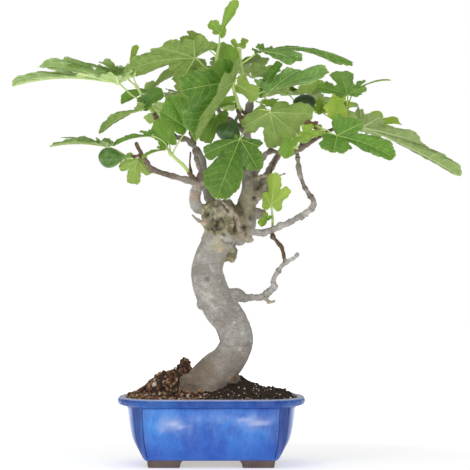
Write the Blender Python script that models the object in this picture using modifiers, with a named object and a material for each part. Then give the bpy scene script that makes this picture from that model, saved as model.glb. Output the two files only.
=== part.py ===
"""A common fig bonsai in its glazed pot, modelled piece by piece in metres, with +Z up.

The tree is laid out in front view on a grid of 470 by 470 cells. place() turns a grid point and
its depth behind the pot's middle into a point in space, so a route reads as (across, down, depth
in mm), and a limb's point adds its radius in mm. Angles of a leaf's lobes are in degrees from its
middle rib, and lengths on a leaf are parts of the leaf's own length.
"""
import math
from collections import namedtuple

import bmesh
import bpy
import numpy as np
from mathutils import Vector

MM = 0.001

# Front view
CELL = 1.35 * MM
VIEW_MIDDLE = 235.0
EYE_DISTANCE = 3.8
EYE_HEIGHT = 309.5 * MM
EYE_ACROSS = 31.7 * MM
POT_X = -31.5 * MM
POT_Y = -49.7 * MM

# Pot: half length and half depth of rim, body and base; wall as (height, half length) in mm and
# rim as (distance in from its widest outline, height) in mm
RIM_HALF = (126.0 * MM, 97.0 * MM)
RIM_TOP = 92.5 * MM
RIM_LIP = 11.0 * MM
BODY_HALF = (114.0 * MM, 86.5 * MM)
BASE_HALF = (88.0 * MM, 64.0 * MM)
POT_BASE = 9.5 * MM
WALL = 6.0 * MM
FLOOR_TOP = 17.5 * MM
FLOOR_COVE = 4.0 * MM
INNER_LEVELS = (78.0 * MM, 34.0 * MM)
RIM_GROOVE = 0.6 * MM
WALL_LEVELS = (9.5 * MM, 23.0 * MM, 40.0 * MM, 80.0 * MM)
WALL_PROFILE = ((9.5, 88.0), (12.3, 90.5), (22.6, 97.0), (37.0, 105.3), (53.0, 109.6), (69.0, 112.3),
                (80.0, 114.0))
RIM_PROFILE = ((4.5, 82.0), (0.2, 85.5), (0.6, 90.5), (3.0, 92.5), (10.0, 92.5), (11.0, 91.5))
RIM_CORNER = (72.0 * MM, 12.0 * MM)
CORNER_TOP = (66.0 * MM, 10.0 * MM)
CORNER_FOOT = (83.5 * MM, 58.5 * MM)
INNER_CORNER = (0.626, 0.14)
GROOVE_TOP = (91.3 * MM, 58.0 * MM)
GROOVE_FOOT = (83.5 * MM, 56.5 * MM)
GROOVE_DEPTH = 1.6 * MM
GROOVE_HALF = 2.0 * MM
GROOVE_SPACE = 1.5
END_POINT = 0.6
LONG_POINTS = (1.0, 0.86, 0.72)
FOOT_LENGTH = 53.0 * MM
FOOT_WIDTH = 28.0 * MM
FOOT_TAPER = 9.0 * MM
FOOT_INSET = (2.5 * MM, 1.0 * MM)
FOOT_BEVEL = (1.5 * MM, 1.0 * MM)
FOOT_RISE = 2.0 * MM
HOLE_RADIUS = 11.0 * MM
HOLE_X = 48.0 * MM
HOLE_SIDES = 16
SCREEN_SIDE = 30.0 * MM
SCREEN_THICK = 0.8 * MM
GAP = 0.3 * MM

# Soil: heaps as (across and back from the pot's middle, half width, half depth, height) in mm
SOIL_EDGE = 90.0 * MM
SOIL_SIDE = 88.0 * MM
SOIL_FIT = 0.996
SOIL_RINGS = 6
HEAPS = ((-62, 20, 32, 32, 32), (26, 12, 43, 30, 29.5), (-36, 12, 11, 12, 26), (-12, 0, 36, 44, 10),
         (90, 6, 22, 28, 9))
SOCKET_PLAY = 1.5

# Plant
BLADE_THICK = 0.7 * MM
BLADE_END = math.radians(150.0)
STALK_RADIUS = 1.25 * MM
STALK_NECK = 2.4 * MM
STALK_REST = 0.35 * MM
PUFF = 0.16
MARGIN_WAVE = 0.018
BLEND_POWER = 8
NOTCH_START = math.radians(112.0)
NOTCH_RUN = math.radians(42.0)
TURN_LEAST = math.radians(5.0)
LARGE_LEAF = 62.0 * MM
SEAT_RUN = 2.5 * MM
SLIVER_FACES = 14

# Each shape: radius of the leaf's base body, then its lobes as (angle, length, half width)
SHAPES = {
    "five": (0.46, ((0, 1.0, 25), (47, 0.86, 22), (-47, 0.86, 22), (97, 0.58, 27), (-97, 0.58, 27))),
    "three": (0.50, ((0, 1.0, 30), (57, 0.78, 26), (-57, 0.78, 26))),
    "oval": (0.42, ((0, 1.0, 40),)),
    "upright": (0.36, ((0, 1.0, 30), (34, 0.84, 24), (-34, 0.84, 24))),
    "tongue": (0.16, ((0, 1.0, 16),)),
    "broad_tongue": (0.24, ((0, 1.0, 24),)),
    "strap": (0.20, ((0, 1.0, 17), (52, 0.34, 22), (-52, 0.34, 22))),
    "prong": (0.18, ((0, 1.0, 10), (46, 0.46, 24))),
    "thumb": (0.22, ((0, 1.0, 16), (66, 0.42, 36))),
    "half_open": (0.34, ((0, 1.0, 24), (42, 0.74, 22), (-45, 0.46, 30))),
    "front": (0.09, ((0, 1.0, 29), (-42, 0.60, 17), (47, 0.62, 27), (77, 0.37, 24))),
    "folded": (0.34, ((0, 1.0, 34), (-42, 0.76, 30), (42, 0.7, 30))),
    "fan": (0.46, ((0, 1.0, 34), (76, 0.86, 30), (-40, 1.0, 28), (-78, 1.22, 24))),
    "broad": (0.36, ((0, 1.0, 24), (-27, 0.86, 20), (30, 0.62, 30))),
    "back": (0.40, ((0, 1.0, 32), (70, 0.86, 22), (-74, 0.55, 26))),
    "far_left": (0.26, ((0, 1.0, 10), (-34, 0.84, 11), (28, 0.46, 14), (-78, 0.30, 36), (80, 0.20, 34))),
    "low_left": (0.26, ((0, 1.0, 14), (-33, 0.84, 15), (30, 0.5, 16), (-80, 0.34, 30), (80, 0.3, 30))),
    "near_left": (0.38, ((0, 1.0, 20), (34, 0.76, 24), (80, 0.5, 32), (-72, 0.56, 28), (128, 0.36, 30))),
    "far_right": (0.20, ((0, 1.0, 9), (-15, 0.60, 19), (50, 0.26, 22), (-60, 0.26, 28))),
    "high_right": (0.16, ((0, 1.0, 10), (-33, 0.52, 24), (30, 0.44, 16))),
    "round": (0.32, ((0, 1.0, 20), (-72, 0.54, 46), (48, 0.46, 22))),
}

Leaf = namedtuple("Leaf", "way tip face shape arch fold", defaults=("five", 0.08, (12, 12)))
Shoot = namedtuple("Shoot", "name seat stem leaves")

COLOURS = {
    "glaze": (0.02, 0.10, 0.48),
    "screen": (0.05, 0.05, 0.05),
    "soil": (0.10, 0.05, 0.03),
    "bark": (0.36, 0.32, 0.25),
    "leaf": (0.13, 0.32, 0.05),
    "young_leaf": (0.34, 0.52, 0.08),
    "fig": (0.05, 0.16, 0.04),
}

# Trunk and its limbs: (across, down, depth, radius)
TRUNK = ((186, 416, 0, 22), (195, 402, 0, 29), (204, 388, 0, 29), (214, 374, 0, 26.5),
         (227, 361, 2, 23.5), (235, 348, 3, 22.5), (236, 336, 3, 23), (230, 321, 1, 22.8),
         (220.5, 308, -2, 23.2), (213, 294, -4, 22.6), (208.5, 281, -5, 22.6), (207, 270, -4, 21),
         (210.5, 257, -2, 20.6), (217, 246, 0, 23.5), (221, 232, 0, 23.5))
LIMBS = {
    "upper_trunk": ((236, 238, 2, 14), (245, 226, 8, 14), (244.5, 212, 10, 14.4),
                    (247, 201, 12, 12.2), (248.5, 187, 9, 8.6), (245.5, 168.5, 3, 5.4)),
    "leader": ((248, 201, 13, 9.5), (252, 187, 16, 7.6), (254, 173, 19, 5.6), (252, 160, 20, 5),
               (249, 146, 20, 5), (247, 130, 18, 5), (248, 116, 17, 5), (250, 102, 17, 4.4)),
    "right_upper": ((254, 176, 18, 5), (258, 166, 17, 4.4), (264, 156, 12, 4.0), (270, 151, 6, 3.7),
                    (279, 152.8, 2, 3.6), (290, 152, 0, 3.5), (300, 149, 0, 3.5), (314, 140, 4, 3.3),
                    (328, 131, 8, 3.0), (337, 127, 10, 2.8)),
    "right_wavy": ((241, 230, 0, 7), (251, 231.5, -9, 5.4), (264, 233, -17, 4.2), (275, 228, -22, 4.2),
                   (290, 222, -26, 4.0), (301, 216, -30, 4.0), (311, 209, -34, 4.0),
                   (313.5, 202, -34, 3.8), (309, 194, -32, 3.4), (304, 185, -32, 3.2),
                   (299.5, 172, -30, 3.0), (298, 160, -28, 2.9), (297, 151, -28, 2.6)),
    "right_low": ((228, 298, 0, 12), (237, 295, -6, 9.5), (245, 298, -13, 5.6), (254, 298, -19, 4.2),
                  (263, 296, -24, 3.9), (270, 291.5, -28, 4.3), (274.8, 287, -30, 4.2),
                  (274, 280, -32, 3.4), (279, 270, -34, 3.2), (286, 262.3, -36, 3.3),
                  (293, 258.3, -38, 2.6), (297.5, 254, -40, 2.4)),
    "low_spur": ((264, 296, -25, 3.2), (269, 302, -28, 2.6), (275, 301, -31, 1.6)),
    "dark_twig": ((285, 262, -36, 2.6), (282, 248, -27, 2.4), (274.5, 239, -14, 3.0),
                  (272.7, 233, -9, 2.6)),
    "left_stub": ((206, 210, 0, 9), (199.5, 208.5, -6, 8.2), (195, 202, -8, 8.0), (196, 192, -8, 7.2),
                  (198.5, 184, -9, 7.0), (201, 176, -8, 5.5)),
    "left_branch": ((203, 183, -11, 5.2), (190, 180.5, -16, 4.4), (177, 177.5, -22, 3.8),
                    (165, 174, -28, 3.5), (152, 169, -33, 3.4), (145, 160, -37, 3.2),
                    (140.5, 152, -38, 2.9), (136, 143, -40, 2.6)),
    "upper_left": ((200.5, 182, -9, 5.2), (203, 171, -7, 4.8), (203.5, 161, -2, 4.4), (196, 150, 6, 4.2),
                   (189, 141, 12, 4.0), (177, 137, 18, 3.8), (170, 134, 22, 3.6), (163, 126, 24, 3.5),
                   (156, 118, 26, 3.3)),
    "thin_twig": ((193, 179, -14, 2.0), (190, 166, -12, 1.7), (190.5, 152, -12, 1.4)),
    "dead_twig": ((251, 181, 12, 3.0), (257, 178, 4, 2.6), (264, 176, 0, 2.2), (275, 177, -3, 1.8),
                  (285, 173.5, -6, 1.3)),
    "thick_stub": ((252, 200, 14, 7.5), (261, 193, 8, 6.4), (269, 187, 3, 5.2)),
    "rising_twig": ((267, 189, 4, 2.8), (270.5, 174, 2, 2.1), (273.5, 164, 2, 2.1), (279, 154, 2, 2.2)),
    "cut_stub": ((250, 214, 8, 7.5), (256.5, 213, 4, 7.2), (262.5, 214.5, 0, 6.6)),
    "dead_spike": ((218, 198, -17, 1.8), (228, 207, -26, 2.6), (236, 216, -26, 2.9),
                   (239, 226, -21, 3.3), (241, 233, -15, 3.6), (242, 239, -9, 3.8)),
    "spike_stub": ((238, 234, -5, 6), (246, 238.5, -9, 5.2), (253, 240, -12, 3.4)),
    "dead_point": ((209, 224, -8, 3.0), (197, 219.5, -16, 2.2), (192.5, 215, -18, 1.5)),
    "top_fork": ((247, 134, 19, 4.2), (236, 125, 24, 3.8), (224, 116, 28, 3.6), (217.5, 108, 30, 3.6)),
    "rear_left": ((216, 208, 16, 8), (208, 196, 36, 6), (203, 176, 58, 4.6), (196, 154, 78, 3.8),
                  (192, 134, 96, 3.2)),
    "rear_right": ((250, 206, 20, 8), (258, 190, 42, 5.6), (268, 172, 62, 4.6), (282, 150, 84, 3.8),
                   (293, 128, 100, 3.2)),
    "rear_top": ((249, 150, 24, 4.2), (247, 134, 44, 3.6), (240, 116, 66, 3.2), (236, 100, 80, 2.8)),
}
SIDES = {"trunk": 16, "upper_trunk": 10, "leader": 8, "left_stub": 8, "thin_twig": 4, "dead_twig": 4,
         "dead_point": 4, "low_spur": 4, "rising_twig": 4, "dark_twig": 4}

# Swollen wood: centre (across, down, depth) and half sizes in mm
LARGE_BURL = 25.0
BURLS = {
    "crown_burl": ((221, 218, 1), (26.5, 25, 27)),
    "old_wound": ((216, 226, -20), (11, 6.5, 9)),
    "side_swell": ((230, 252, -2), (10.5, 10, 14.5)),
    "left_bump": ((202, 304, -6), (7, 8, 8)),
    "root_stub": ((233, 379, -14), (10, 8, 6.5)),
    "root_left": ((192, 383, -4), (18, 20, 13)),
}

SHOOTS = (
    Shoot("shoot_left_top", ((156, 118, 26, 3.3), (154.5, 114.5, 26.5, 2.8)),
          ((150, 108, 26, 2.4), (143, 97, 25, 2.0), (137, 87, 25, 1.7)),
          (Leaf(((146, 102, 25), (133, 96, 19), (118, 84, 14)), (10, 88, -12), (0, 0.11, 0.99), "far_left",
                0.07, (-2, 30)),
           Leaf(((137, 87, 25), (129, 80, 34), (119, 71, 40)), (65, 59, 44), (0, 0.37, 0.98), "prong", -0.03,
                (2, 2)),
           Leaf(((137, 87, 25), (134, 79, 25), (131, 70, 25)), (138, 45, 20), (-0.6, -0.8, 0.06), "tongue"),
           Leaf(((146, 102, 25), (149, 96, 30), (151, 91, 34)), (182, 71, 50), (0.1, 0.51, 0.87),
                "broad_tongue"),
           Leaf(((148, 106, 26), (151, 100, 44), (152, 91, 60)), (121, 102, 66), (-0.1, -0.71, 0.74),
                "broad_tongue"),
           Leaf(((151, 110, 26), (149, 108, 22), (146, 104, 20)), (163, 91, 14), (-0.3, -0.99, 0.26), "oval"),
           Leaf(((149, 107, 26), (146, 108, 18), (142, 110, 13)), (100, 133, -8), (0.25, 0.55, 0.97),
                "tongue", 0.08))),
    Shoot("shoot_top", ((217.5, 108, 30, 3.6), (217, 104.5, 30, 3.0)),
          ((216.5, 90, 27, 2.8), (216.5, 74, 22, 2.6), (217, 57, 17, 2.3), (219, 46, 14, 1.9)),
          (Leaf(((216.5, 74, 22), (205, 67, 14), (195, 58.5, 6)), (127, 69, -20), (0, 0.43, 0.97),
                "near_left", 0.06, (2, -24)),
           Leaf(((217, 57, 17), (208, 49, 26), (197, 41.5, 32)), (180, 41, 40), (0.2, 0.57, 0.76), "three"),
           Leaf(((216.5, 80, 24), (206, 80, 20), (189.5, 88, 16)), (187, 60, 32), (0.2, 1.02, 0.23),
                "upright"),
           Leaf(((219, 46, 14), (219.5, 40, 13), (220.5, 33, 12)), (237, 1, 8), (-0.3, -0.98, 0.29), "thumb",
                0.04),
           Leaf(((217, 60, 18), (219, 56, 32), (221, 53, 40)), (208, 44, 54), (0, -0.43, 0.94), "three"),
           Leaf(((216.5, 79, 23), (228, 76, 26), (232, 66, 30)), (226, 45, 34), (0.2, -0.98, 0.28),
                "upright"),
           Leaf(((216.5, 74, 22), (238, 66, 10), (261, 51.5, 2)), (353, 66, -20), (0, 0.08, 1), "high_right",
                0.11, (2, -42)),
           Leaf(((216.5, 84, 25), (212, 80, 18), (210, 77, 14)), (199, 78, 4), (0, -0.54, 0.84), "oval"))),
    Shoot("shoot_middle", ((248, 116, 17, 3.4), (244, 112.5, 9, 2.8), (241.5, 110, 4, 2.6)),
          ((238, 104, 0, 2.4), (235, 94, -3, 2.2), (233, 87, -6, 1.9)),
          (Leaf(((233, 87, -6), (234, 84, -9), (234.5, 82, -14)), (197, 141, -54), (0.1, -0.99, 0.25),
                "folded", 0.08, (99, 8)),
           Leaf(((233, 88, -6), (236, 85, -8), (238, 85, -10)), (257, 98, -18), (0.3, 0.92, 0.24), "oval"),
           Leaf(((236, 98, -2), (235, 101, -8), (232, 103, -12)), (216, 106, -16), (0, -0.76, 0.64), "oval"),
           Leaf(((240, 107, 2), (226, 110, 6), (216, 117, 6)), (205, 143, -2), (-0.2, -0.99, 0.25),
                "three"))),
    Shoot("shoot_twig", ((250, 106, 17, 3.4), (249, 90, 18, 2.6), (245.5, 79, 18, 2.2)),
          ((242, 68, 18, 1.7), (240, 52, 18, 1.3)),
          (Leaf(((240, 54, 18), (238, 50, 14), (236, 47, 10)), (231, 40, 4), (0, -0.86, 0.57), "oval"),
           Leaf(((240, 54, 18), (241, 50, 22), (242, 47, 26)), (246, 39, 32), (0, -0.86, 0.47), "oval"))),
    Shoot("shoot_right_top", ((248, 117, 17, 3.6), (254, 114.5, 18, 3.0), (258.5, 112.5, 18, 2.6)),
          ((261, 108, 17, 2.2), (262, 103, 15, 1.9)),
          (Leaf(((262, 103, 15), (265, 98, 10), (270, 91, 6)), (328, 73, -4), (0, -0.43, 1.03), "broad", 0.05,
                (10, 4)),
           Leaf(((262, 103, 15), (256, 101, 14), (258, 97, 20), (260, 94, 26)), (281, 63, 20),
                (-0.5, -0.98, 0.27), "tongue"),
           Leaf(((261, 106, 16), (263, 108, 10), (267, 106, 5)), (289, 105, 2), (0, -0.39, 1.02), "three",
                0.08, (4, 4)),
           Leaf(((261, 108, 16), (257, 110, -4), (262, 109.5, -19), (270, 112, -20)), (278, 147, -27),
                (-0.1, 1.01, 0.25), "fan", 0.05))),
    Shoot("shoot_right", ((298, 160, -28, 2.9), (297, 151, -28, 2.6)),
          ((296.5, 146, -31, 2.2), (297, 137, -35, 1.6)),
          (Leaf(((296.5, 144, -32), (294, 141, -38), (292, 140, -42)), (284, 158, -50), (0, -0.88, 0.53),
                "oval"),
           Leaf(((297, 138, -34), (301, 134, -38), (304, 132, -39)), (318, 136, -44), (0, -0.77, 0.63),
                "three"))),
    Shoot("shoot_right_bud", ((319, 137, 6, 2.6), (321, 134.5, 0, 2.0), (322.5, 133.5, -4, 1.8)),
          ((325, 133.5, -8, 1.5), (328, 133.5, -11, 1.4)),
          (Leaf(((328, 133.5, -11), (332, 134, -16), (337, 136, -22)), (394, 158, -44), (0.1, -0.97, 0.74),
                "round"),
           Leaf(((325, 133.5, -8), (324, 130, -12), (321, 130, -14)), (299, 140, -22), (0, 1.01, 0.16),
                "broad_tongue"),
           Leaf(((328, 133.5, -11), (329, 131, -21), (315, 126, -25)), (304, 124, -28), (0, -0.99, 0.25),
                "oval"))),
    Shoot("shoot_right_end", ((328, 131, 8, 2.9), (338, 126.5, 10, 2.6)),
          ((342, 124, 10, 2.2), (345, 121, 9, 1.9), (346, 115, 8, 1.6)),
          (Leaf(((346, 117, 8), (346.5, 107, 8), (347.5, 95, 10)), (339, 72, 46), (0, -0.55, 0.84), "back",
                0.06, (8, 0)),
           Leaf(((346, 115, 8), (350, 100, 20), (356, 90, 26)), (391, 81, 34), (0, -0.18, 1.01), "prong"),
           Leaf(((346, 116, 8), (342, 106, 6), (338, 99, 4)), (333, 120, 2), (0.1, -0.99, 0.25), "upright"),
           Leaf(((346, 117, 8), (346.5, 108, 13), (345.5, 103, 15), (343, 104, 17)), (342, 122, 20),
                (0.2, -0.99, 0.25), "oval"),
           Leaf(((342, 124, 10), (332, 119, 16), (322, 111, 27)), (318, 99, 30), (0, -0.98, 0.36), "three"),
           Leaf(((345, 121, 9), (354, 123, 24), (362, 127, 40)), (458, 175, 16), (0, 0.49, 0.98), "far_right",
                0.03, (10, 6)),
           Leaf(((345, 121, 9), (353, 119, 12), (358, 120, 44), (362, 122, 90), (372, 127, 110)),
                (401, 124, 122), (0, -0.5, 0.9), "three"))),
    Shoot("shoot_left_low", ((197, 182, -14, 3.2), (192, 176.5, -19, 2.8), (189, 172.5, -21, 2.5)),
          ((183, 165, -24, 2.3), (176, 159, -27, 2.1), (170.5, 153.5, -28, 1.8)),
          (Leaf(((170.5, 153.5, -28), (164, 142, -30), (151.5, 136.5, -30)), (114, 146, -40),
                (0.1, -0.31, 1.01), "strap"),
           Leaf(((172, 155, -28), (177, 145, -32), (186, 128, -34)), (170, 97, -22), (0.1, -0.98, 0.35),
                "upright"),
           Leaf(((170.5, 153.5, -28), (170, 148, -26), (169, 143, -25)), (160, 118, -16), (-0.3, -0.99, 0.25),
                "upright"),
           Leaf(((172, 155, -28), (169, 151, -36), (165, 150, -40)), (143, 158, -52), (0, -0.36, 1.01),
                "strap"))),
    Shoot("shoot_left_tip", ((141.5, 155, -38, 2.8), (137, 156, -34, 2.2), (134.5, 157, -31, 1.9)),
          ((132, 158, -29, 1.6), (129, 158, -28, 1.4)),
          (Leaf(((129, 158, -28), (118, 151, -22), (107, 147, -20)), (51, 146, -38), (0, 0.09, 1), "low_left",
                0.05, (0, 24)),
           Leaf(((132, 158, -29), (134, 158, -25), (137, 160, -22)), (133, 184, -26), (-0.1, 1.01, 0.17),
                "three"))),
    Shoot("shoot_low", ((274.5, 239, -14, 2.6), (272.7, 233, -9, 2.4), (272.6, 228, -7.5, 1.9)),
          ((272.6, 218, -9, 1.6), (271.5, 207, -10, 1.3)),
          (Leaf(((271.5, 208, -10), (271.5, 206, -10), (271.5, 204.5, -11)), (274, 173, -9), (0.2, 1, 0.08),
                "half_open"),
           Leaf(((272.6, 218, -9), (270, 216, -13), (268, 217, -16)), (260, 226, -20), (-0.2, -0.9, 0.41),
                "oval"))),
    Shoot("leaf_front", ((247, 128, 18, 3.4), (247, 127.5, 8, 2.6), (247, 127.5, 0, 2.1)),
          ((246.5, 128, -6, 1.7), (246, 129, -11, 1.5)),
          (Leaf(((246, 129, -11), (244, 132, -26), (240, 139, -44)), (217.5, 198, -72), (-0.1, -0.99, 0.38),
                "front", 0.05),)),
    Shoot("shoot_rear_left", ((196, 154, 78, 3.4), (191, 132, 98, 2.8)),
          ((190, 124, 104, 2.3), (191, 112, 108, 1.8)),
          (Leaf(((191, 113, 108), (192, 104, 120), (194, 100, 130)), (196, 108, 196), (0, 0.21, 0.99),
                "five"),
           Leaf(((190, 122, 104), (180, 118, 112), (172, 116, 118)), (150, 124, 168), (0.1, 0.15, 0.99),
                "five"),
           Leaf(((191, 114, 108), (200, 110, 104), (206, 108, 104)), (232, 112, 138), (0, 0.15, 0.99),
                "three"),
           Leaf(((191, 113, 108), (191, 104, 104), (190, 98, 100)), (176, 84, 92), (0.2, 0.92, 0.34),
                "three"))),
    Shoot("shoot_rear_right", ((282, 150, 84, 3.4), (294, 126, 101, 2.8)),
          ((297, 118, 106, 2.3), (299, 106, 110, 1.8)),
          (Leaf(((299, 107, 110), (303, 99, 120), (306, 96, 130)), (314, 106, 196), (0, 0.21, 0.99), "five"),
           Leaf(((297, 116, 106), (308, 112, 112), (318, 111, 116)), (352, 122, 156), (0, 0.15, 0.99),
                "five"),
           Leaf(((299, 107, 110), (292, 98, 108), (287, 95, 108)), (262, 98, 138), (0, 0.26, 0.99), "three"),
           Leaf(((299, 108, 110), (303, 100, 104), (308, 94, 100)), (324, 82, 84), (-0.2, 0.56, 0.87),
                "three"))),
    Shoot("shoot_rear_top", ((240, 116, 66, 3.0), (235.5, 98, 81, 2.6)),
          ((234, 90, 86, 2.1), (233, 78, 88, 1.7)),
          (Leaf(((233, 79, 88), (234, 70, 98), (236, 67, 108)), (244, 76, 168), (0, 0.27, 0.98), "five"),
           Leaf(((234, 88, 86), (222, 82, 92), (214, 80, 96)), (186, 88, 132), (0, 0.17, 0.99), "three"),
           Leaf(((233, 80, 88), (244, 76, 92), (252, 76, 96)), (280, 86, 126), (0, 0.17, 0.99), "three"))),
)

# Figs: end of the woody spur, stalk end, blossom end and radius in mm
Fig = namedtuple("Fig", "name spur end radius")
FIGS = (
    Fig("fig_left", ((142, 156, -38, 2.6), (138, 156, -44, 2.2), (133.5, 156, -48, 1.9)), (98.5, 157.5, -48),
        13.2),
    Fig("fig_middle", ((247, 122, 17, 3.4), (243, 118, -6, 2.6), (238.5, 115, -22, 2.2)), (223.5, 140.5, -31),
        16.6),
    Fig("fig_right", ((300, 149, 0, 3.2), (304, 138, 14, 2.4), (306, 122, 20, 2.0)), (304.5, 94.5, 17), 15.0),
)
FIG_PROFILE = ((0.0, 0.13), (0.10, 0.13), (0.20, 0.19), (0.33, 0.42), (0.46, 0.75), (0.60, 0.96),
               (0.75, 1.0), (0.88, 0.82), (0.965, 0.46), (1.0, 0.16))
FIG_STEPS = 10


def place(across, down, depth):
    """Point in space for a grid cell in front view and a depth in mm behind the pot's middle."""
    back = depth * MM
    spread = (EYE_DISTANCE + back) / EYE_DISTANCE * CELL
    side = EYE_ACROSS + (across - VIEW_MIDDLE) * spread
    height = EYE_HEIGHT + (VIEW_MIDDLE - down) * spread
    return Vector((POT_X + side, POT_Y + back, height))


def smooth_path(points, steps):
    """Catmull-Rom curve through rows of numbers, with steps rows to each span."""
    rows = np.array(points, dtype=float)
    rows = np.vstack([2 * rows[0] - rows[1], rows, 2 * rows[-1] - rows[-2]])
    path = []
    for first in range(len(rows) - 3):
        a, b, c, d = rows[first:first + 4]
        for t in np.arange(steps) / steps:
            path.append(0.5 * (2 * b + (c - a) * t + (2 * a - 5 * b + 4 * c - d) * t ** 2
                               + (3 * b - a - 3 * c + d) * t ** 3))
    path.append(rows[-2])
    return np.array(path)


def limb_rows(points):
    """World position and radius in metres for each (across, down, depth, radius)."""
    return [(*place(across, down, depth), radius * MM) for across, down, depth, radius in points]


def clear_scene():
    for item in list(bpy.data.objects):
        bpy.data.objects.remove(item, do_unlink=True)


def new_collection(name):
    collection = bpy.data.collections.new(name)
    bpy.context.scene.collection.children.link(collection)
    return collection


def new_material(name, colour, roughness):
    material = bpy.data.materials.new(name)
    material.use_nodes = True
    shader = material.node_tree.nodes["Principled BSDF"]
    shader.inputs["Base Color"].default_value = (*colour, 1.0)
    shader.inputs["Roughness"].default_value = roughness
    shader.inputs["Metallic"].default_value = 0.0
    return material


def new_object(name, mesh, collection):
    item = bpy.data.objects.new(name, mesh)
    collection.objects.link(item)
    return item


def remove_objects(items):
    for item in items:
        bpy.data.objects.remove(item, do_unlink=True)


def mesh_of(item):
    """The evaluated mesh of an object in world space, with doubled points welded."""
    bpy.context.view_layer.update()
    graph = bpy.context.evaluated_depsgraph_get()
    mesh = bpy.data.meshes.new_from_object(item.evaluated_get(graph), depsgraph=graph)
    mesh.transform(item.matrix_world)
    shape = bmesh.new()
    shape.from_mesh(mesh)
    bmesh.ops.remove_doubles(shape, verts=shape.verts, dist=1e-6)
    shape.to_mesh(mesh)
    shape.free()
    return mesh


def tube(name, rows, steps, resolution, collection):
    """Closed tapering tube through rows of (x, y, z, radius)."""
    path = smooth_path(rows, steps)
    curve = bpy.data.curves.new(name, "CURVE")
    curve.dimensions = "3D"
    curve.bevel_depth = 1.0
    curve.bevel_resolution = resolution
    curve.use_fill_caps = True
    spline = curve.splines.new("POLY")
    spline.points.add(len(path) - 1)
    for point, (x, y, z, radius) in zip(spline.points, path):
        point.co = (x, y, z, 1.0)
        point.radius = radius
    bent = new_object(name + "_curve", curve, collection)
    item = new_object(name, mesh_of(bent), collection)
    remove_objects([bent])
    return item


def boolean(item, operation, other=None, group=None, solver="EXACT"):
    """Joins or cuts item with one object or a collection, and applies it."""
    modifier = item.modifiers.new(operation.lower(), "BOOLEAN")
    modifier.operation = operation
    modifier.solver = solver
    if group:
        modifier.operand_type = "COLLECTION"
        modifier.collection = group
    else:
        modifier.object = other
    joined = mesh_of(item)
    item.modifiers.clear()
    item.matrix_world = item.matrix_world.Identity(4)
    item.data = joined


def drop_slivers(mesh):
    """Removes islands of a few faces that a join can leave at a sharp bend."""
    shape = bmesh.new()
    shape.from_mesh(mesh)
    left = set(shape.faces)
    while left:
        island, edge = set(), {left.pop()}
        while edge:
            island |= edge
            edge = {near for face in edge for side in face.edges for near in side.link_faces} - island
        left -= island
        if len(island) < SLIVER_FACES:
            verts = {vert for face in island for vert in face.verts}
            bmesh.ops.delete(shape, geom=list(verts), context="VERTS")
    shape.to_mesh(mesh)
    shape.free()


def fuse(name, group, collection, solver="MANIFOLD"):
    """Joins every solid in a collection into one object, and removes the collection."""
    pieces = list(group.objects)
    body = new_object(name, pieces[0].data, collection)
    group.objects.unlink(pieces[0])
    boolean(body, "UNION", group=group, solver=solver)
    drop_slivers(body.data)
    remove_objects(pieces)
    bpy.data.collections.remove(group)
    return body


def finish(item, material):
    """One material, smooth faces with sharp edges kept, under the object's own name."""
    item.data.name = item.name
    item.data.materials.clear()
    item.data.materials.append(material)
    item.data.shade_smooth()
    item.data.set_sharp_from_angle(angle=math.radians(40))


def pot_outline(half, near, groove, depth):
    """Rectangle with quarter ellipses from near to half as corners, and a groove on each side of a corner."""
    half, near = np.array(half), np.array(near)
    size = half - near
    split = near + size * math.sqrt(0.5)
    groove_x, groove_y = np.minimum(groove, split - GROOVE_SPACE * GROOVE_HALF)
    start_x, start_y = groove_x - GROOVE_HALF, groove_y - GROOVE_HALF
    back = np.array([0.0, start_y * END_POINT, start_y, groove_y, groove_y + GROOVE_HALF, split[1]])
    across = np.array([groove_x + GROOVE_HALF, groove_x, *(start_x * part for part in LONG_POINTS)])
    end_x = near[0] + size[0] * np.sqrt(1 - np.clip((back - near[1]) / size[1], 0, 1) ** 2)
    long_y = near[1] + size[1] * np.sqrt(1 - np.clip((across - near[0]) / size[0], 0, 1) ** 2)
    end_wall = np.column_stack([end_x - depth * (back == groove_y), back])
    long_wall = np.column_stack([across, long_y - depth * (across == groove_x)])
    corner = np.vstack([end_wall, long_wall])
    mirrored = corner[1:][::-1] * (-1, 1)
    top = np.vstack([corner, [(0.0, half[1])], mirrored])
    return np.vstack([top, -top])


def pot_section(z):
    """Half sizes, corner starts and groove places of the pot's outer wall at a height."""
    heights, lengths = np.array(WALL_PROFILE).T * MM
    length = float(np.interp(z, heights, lengths))
    rise = (length - BASE_HALF[0]) / (BODY_HALF[0] - BASE_HALF[0])
    ends = ((BASE_HALF, BODY_HALF), (CORNER_FOOT, CORNER_TOP), (GROOVE_FOOT, GROOVE_TOP))
    return [np.array(low) + (np.array(high) - low) * rise for low, high in ends]


def wall_ring(z, inset=0.0):
    """One level of the outer wall, or of the plain inner wall that lies inset from it."""
    half, near, groove = pot_section(z)
    if inset:
        inner = half - inset
        return pot_outline(inner, inner * INNER_CORNER, inner, 0.0)
    return pot_outline(half, near, groove, GROOVE_DEPTH)


def rim_ring(margin):
    """One level of the rim, smaller all round by margin, with faint grooves up to its inner edge."""
    half = np.array(RIM_HALF) - margin
    outside = margin < RIM_LIP
    return pot_outline(half, RIM_CORNER, GROOVE_TOP if outside else half, RIM_GROOVE if outside else 0.0)


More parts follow.
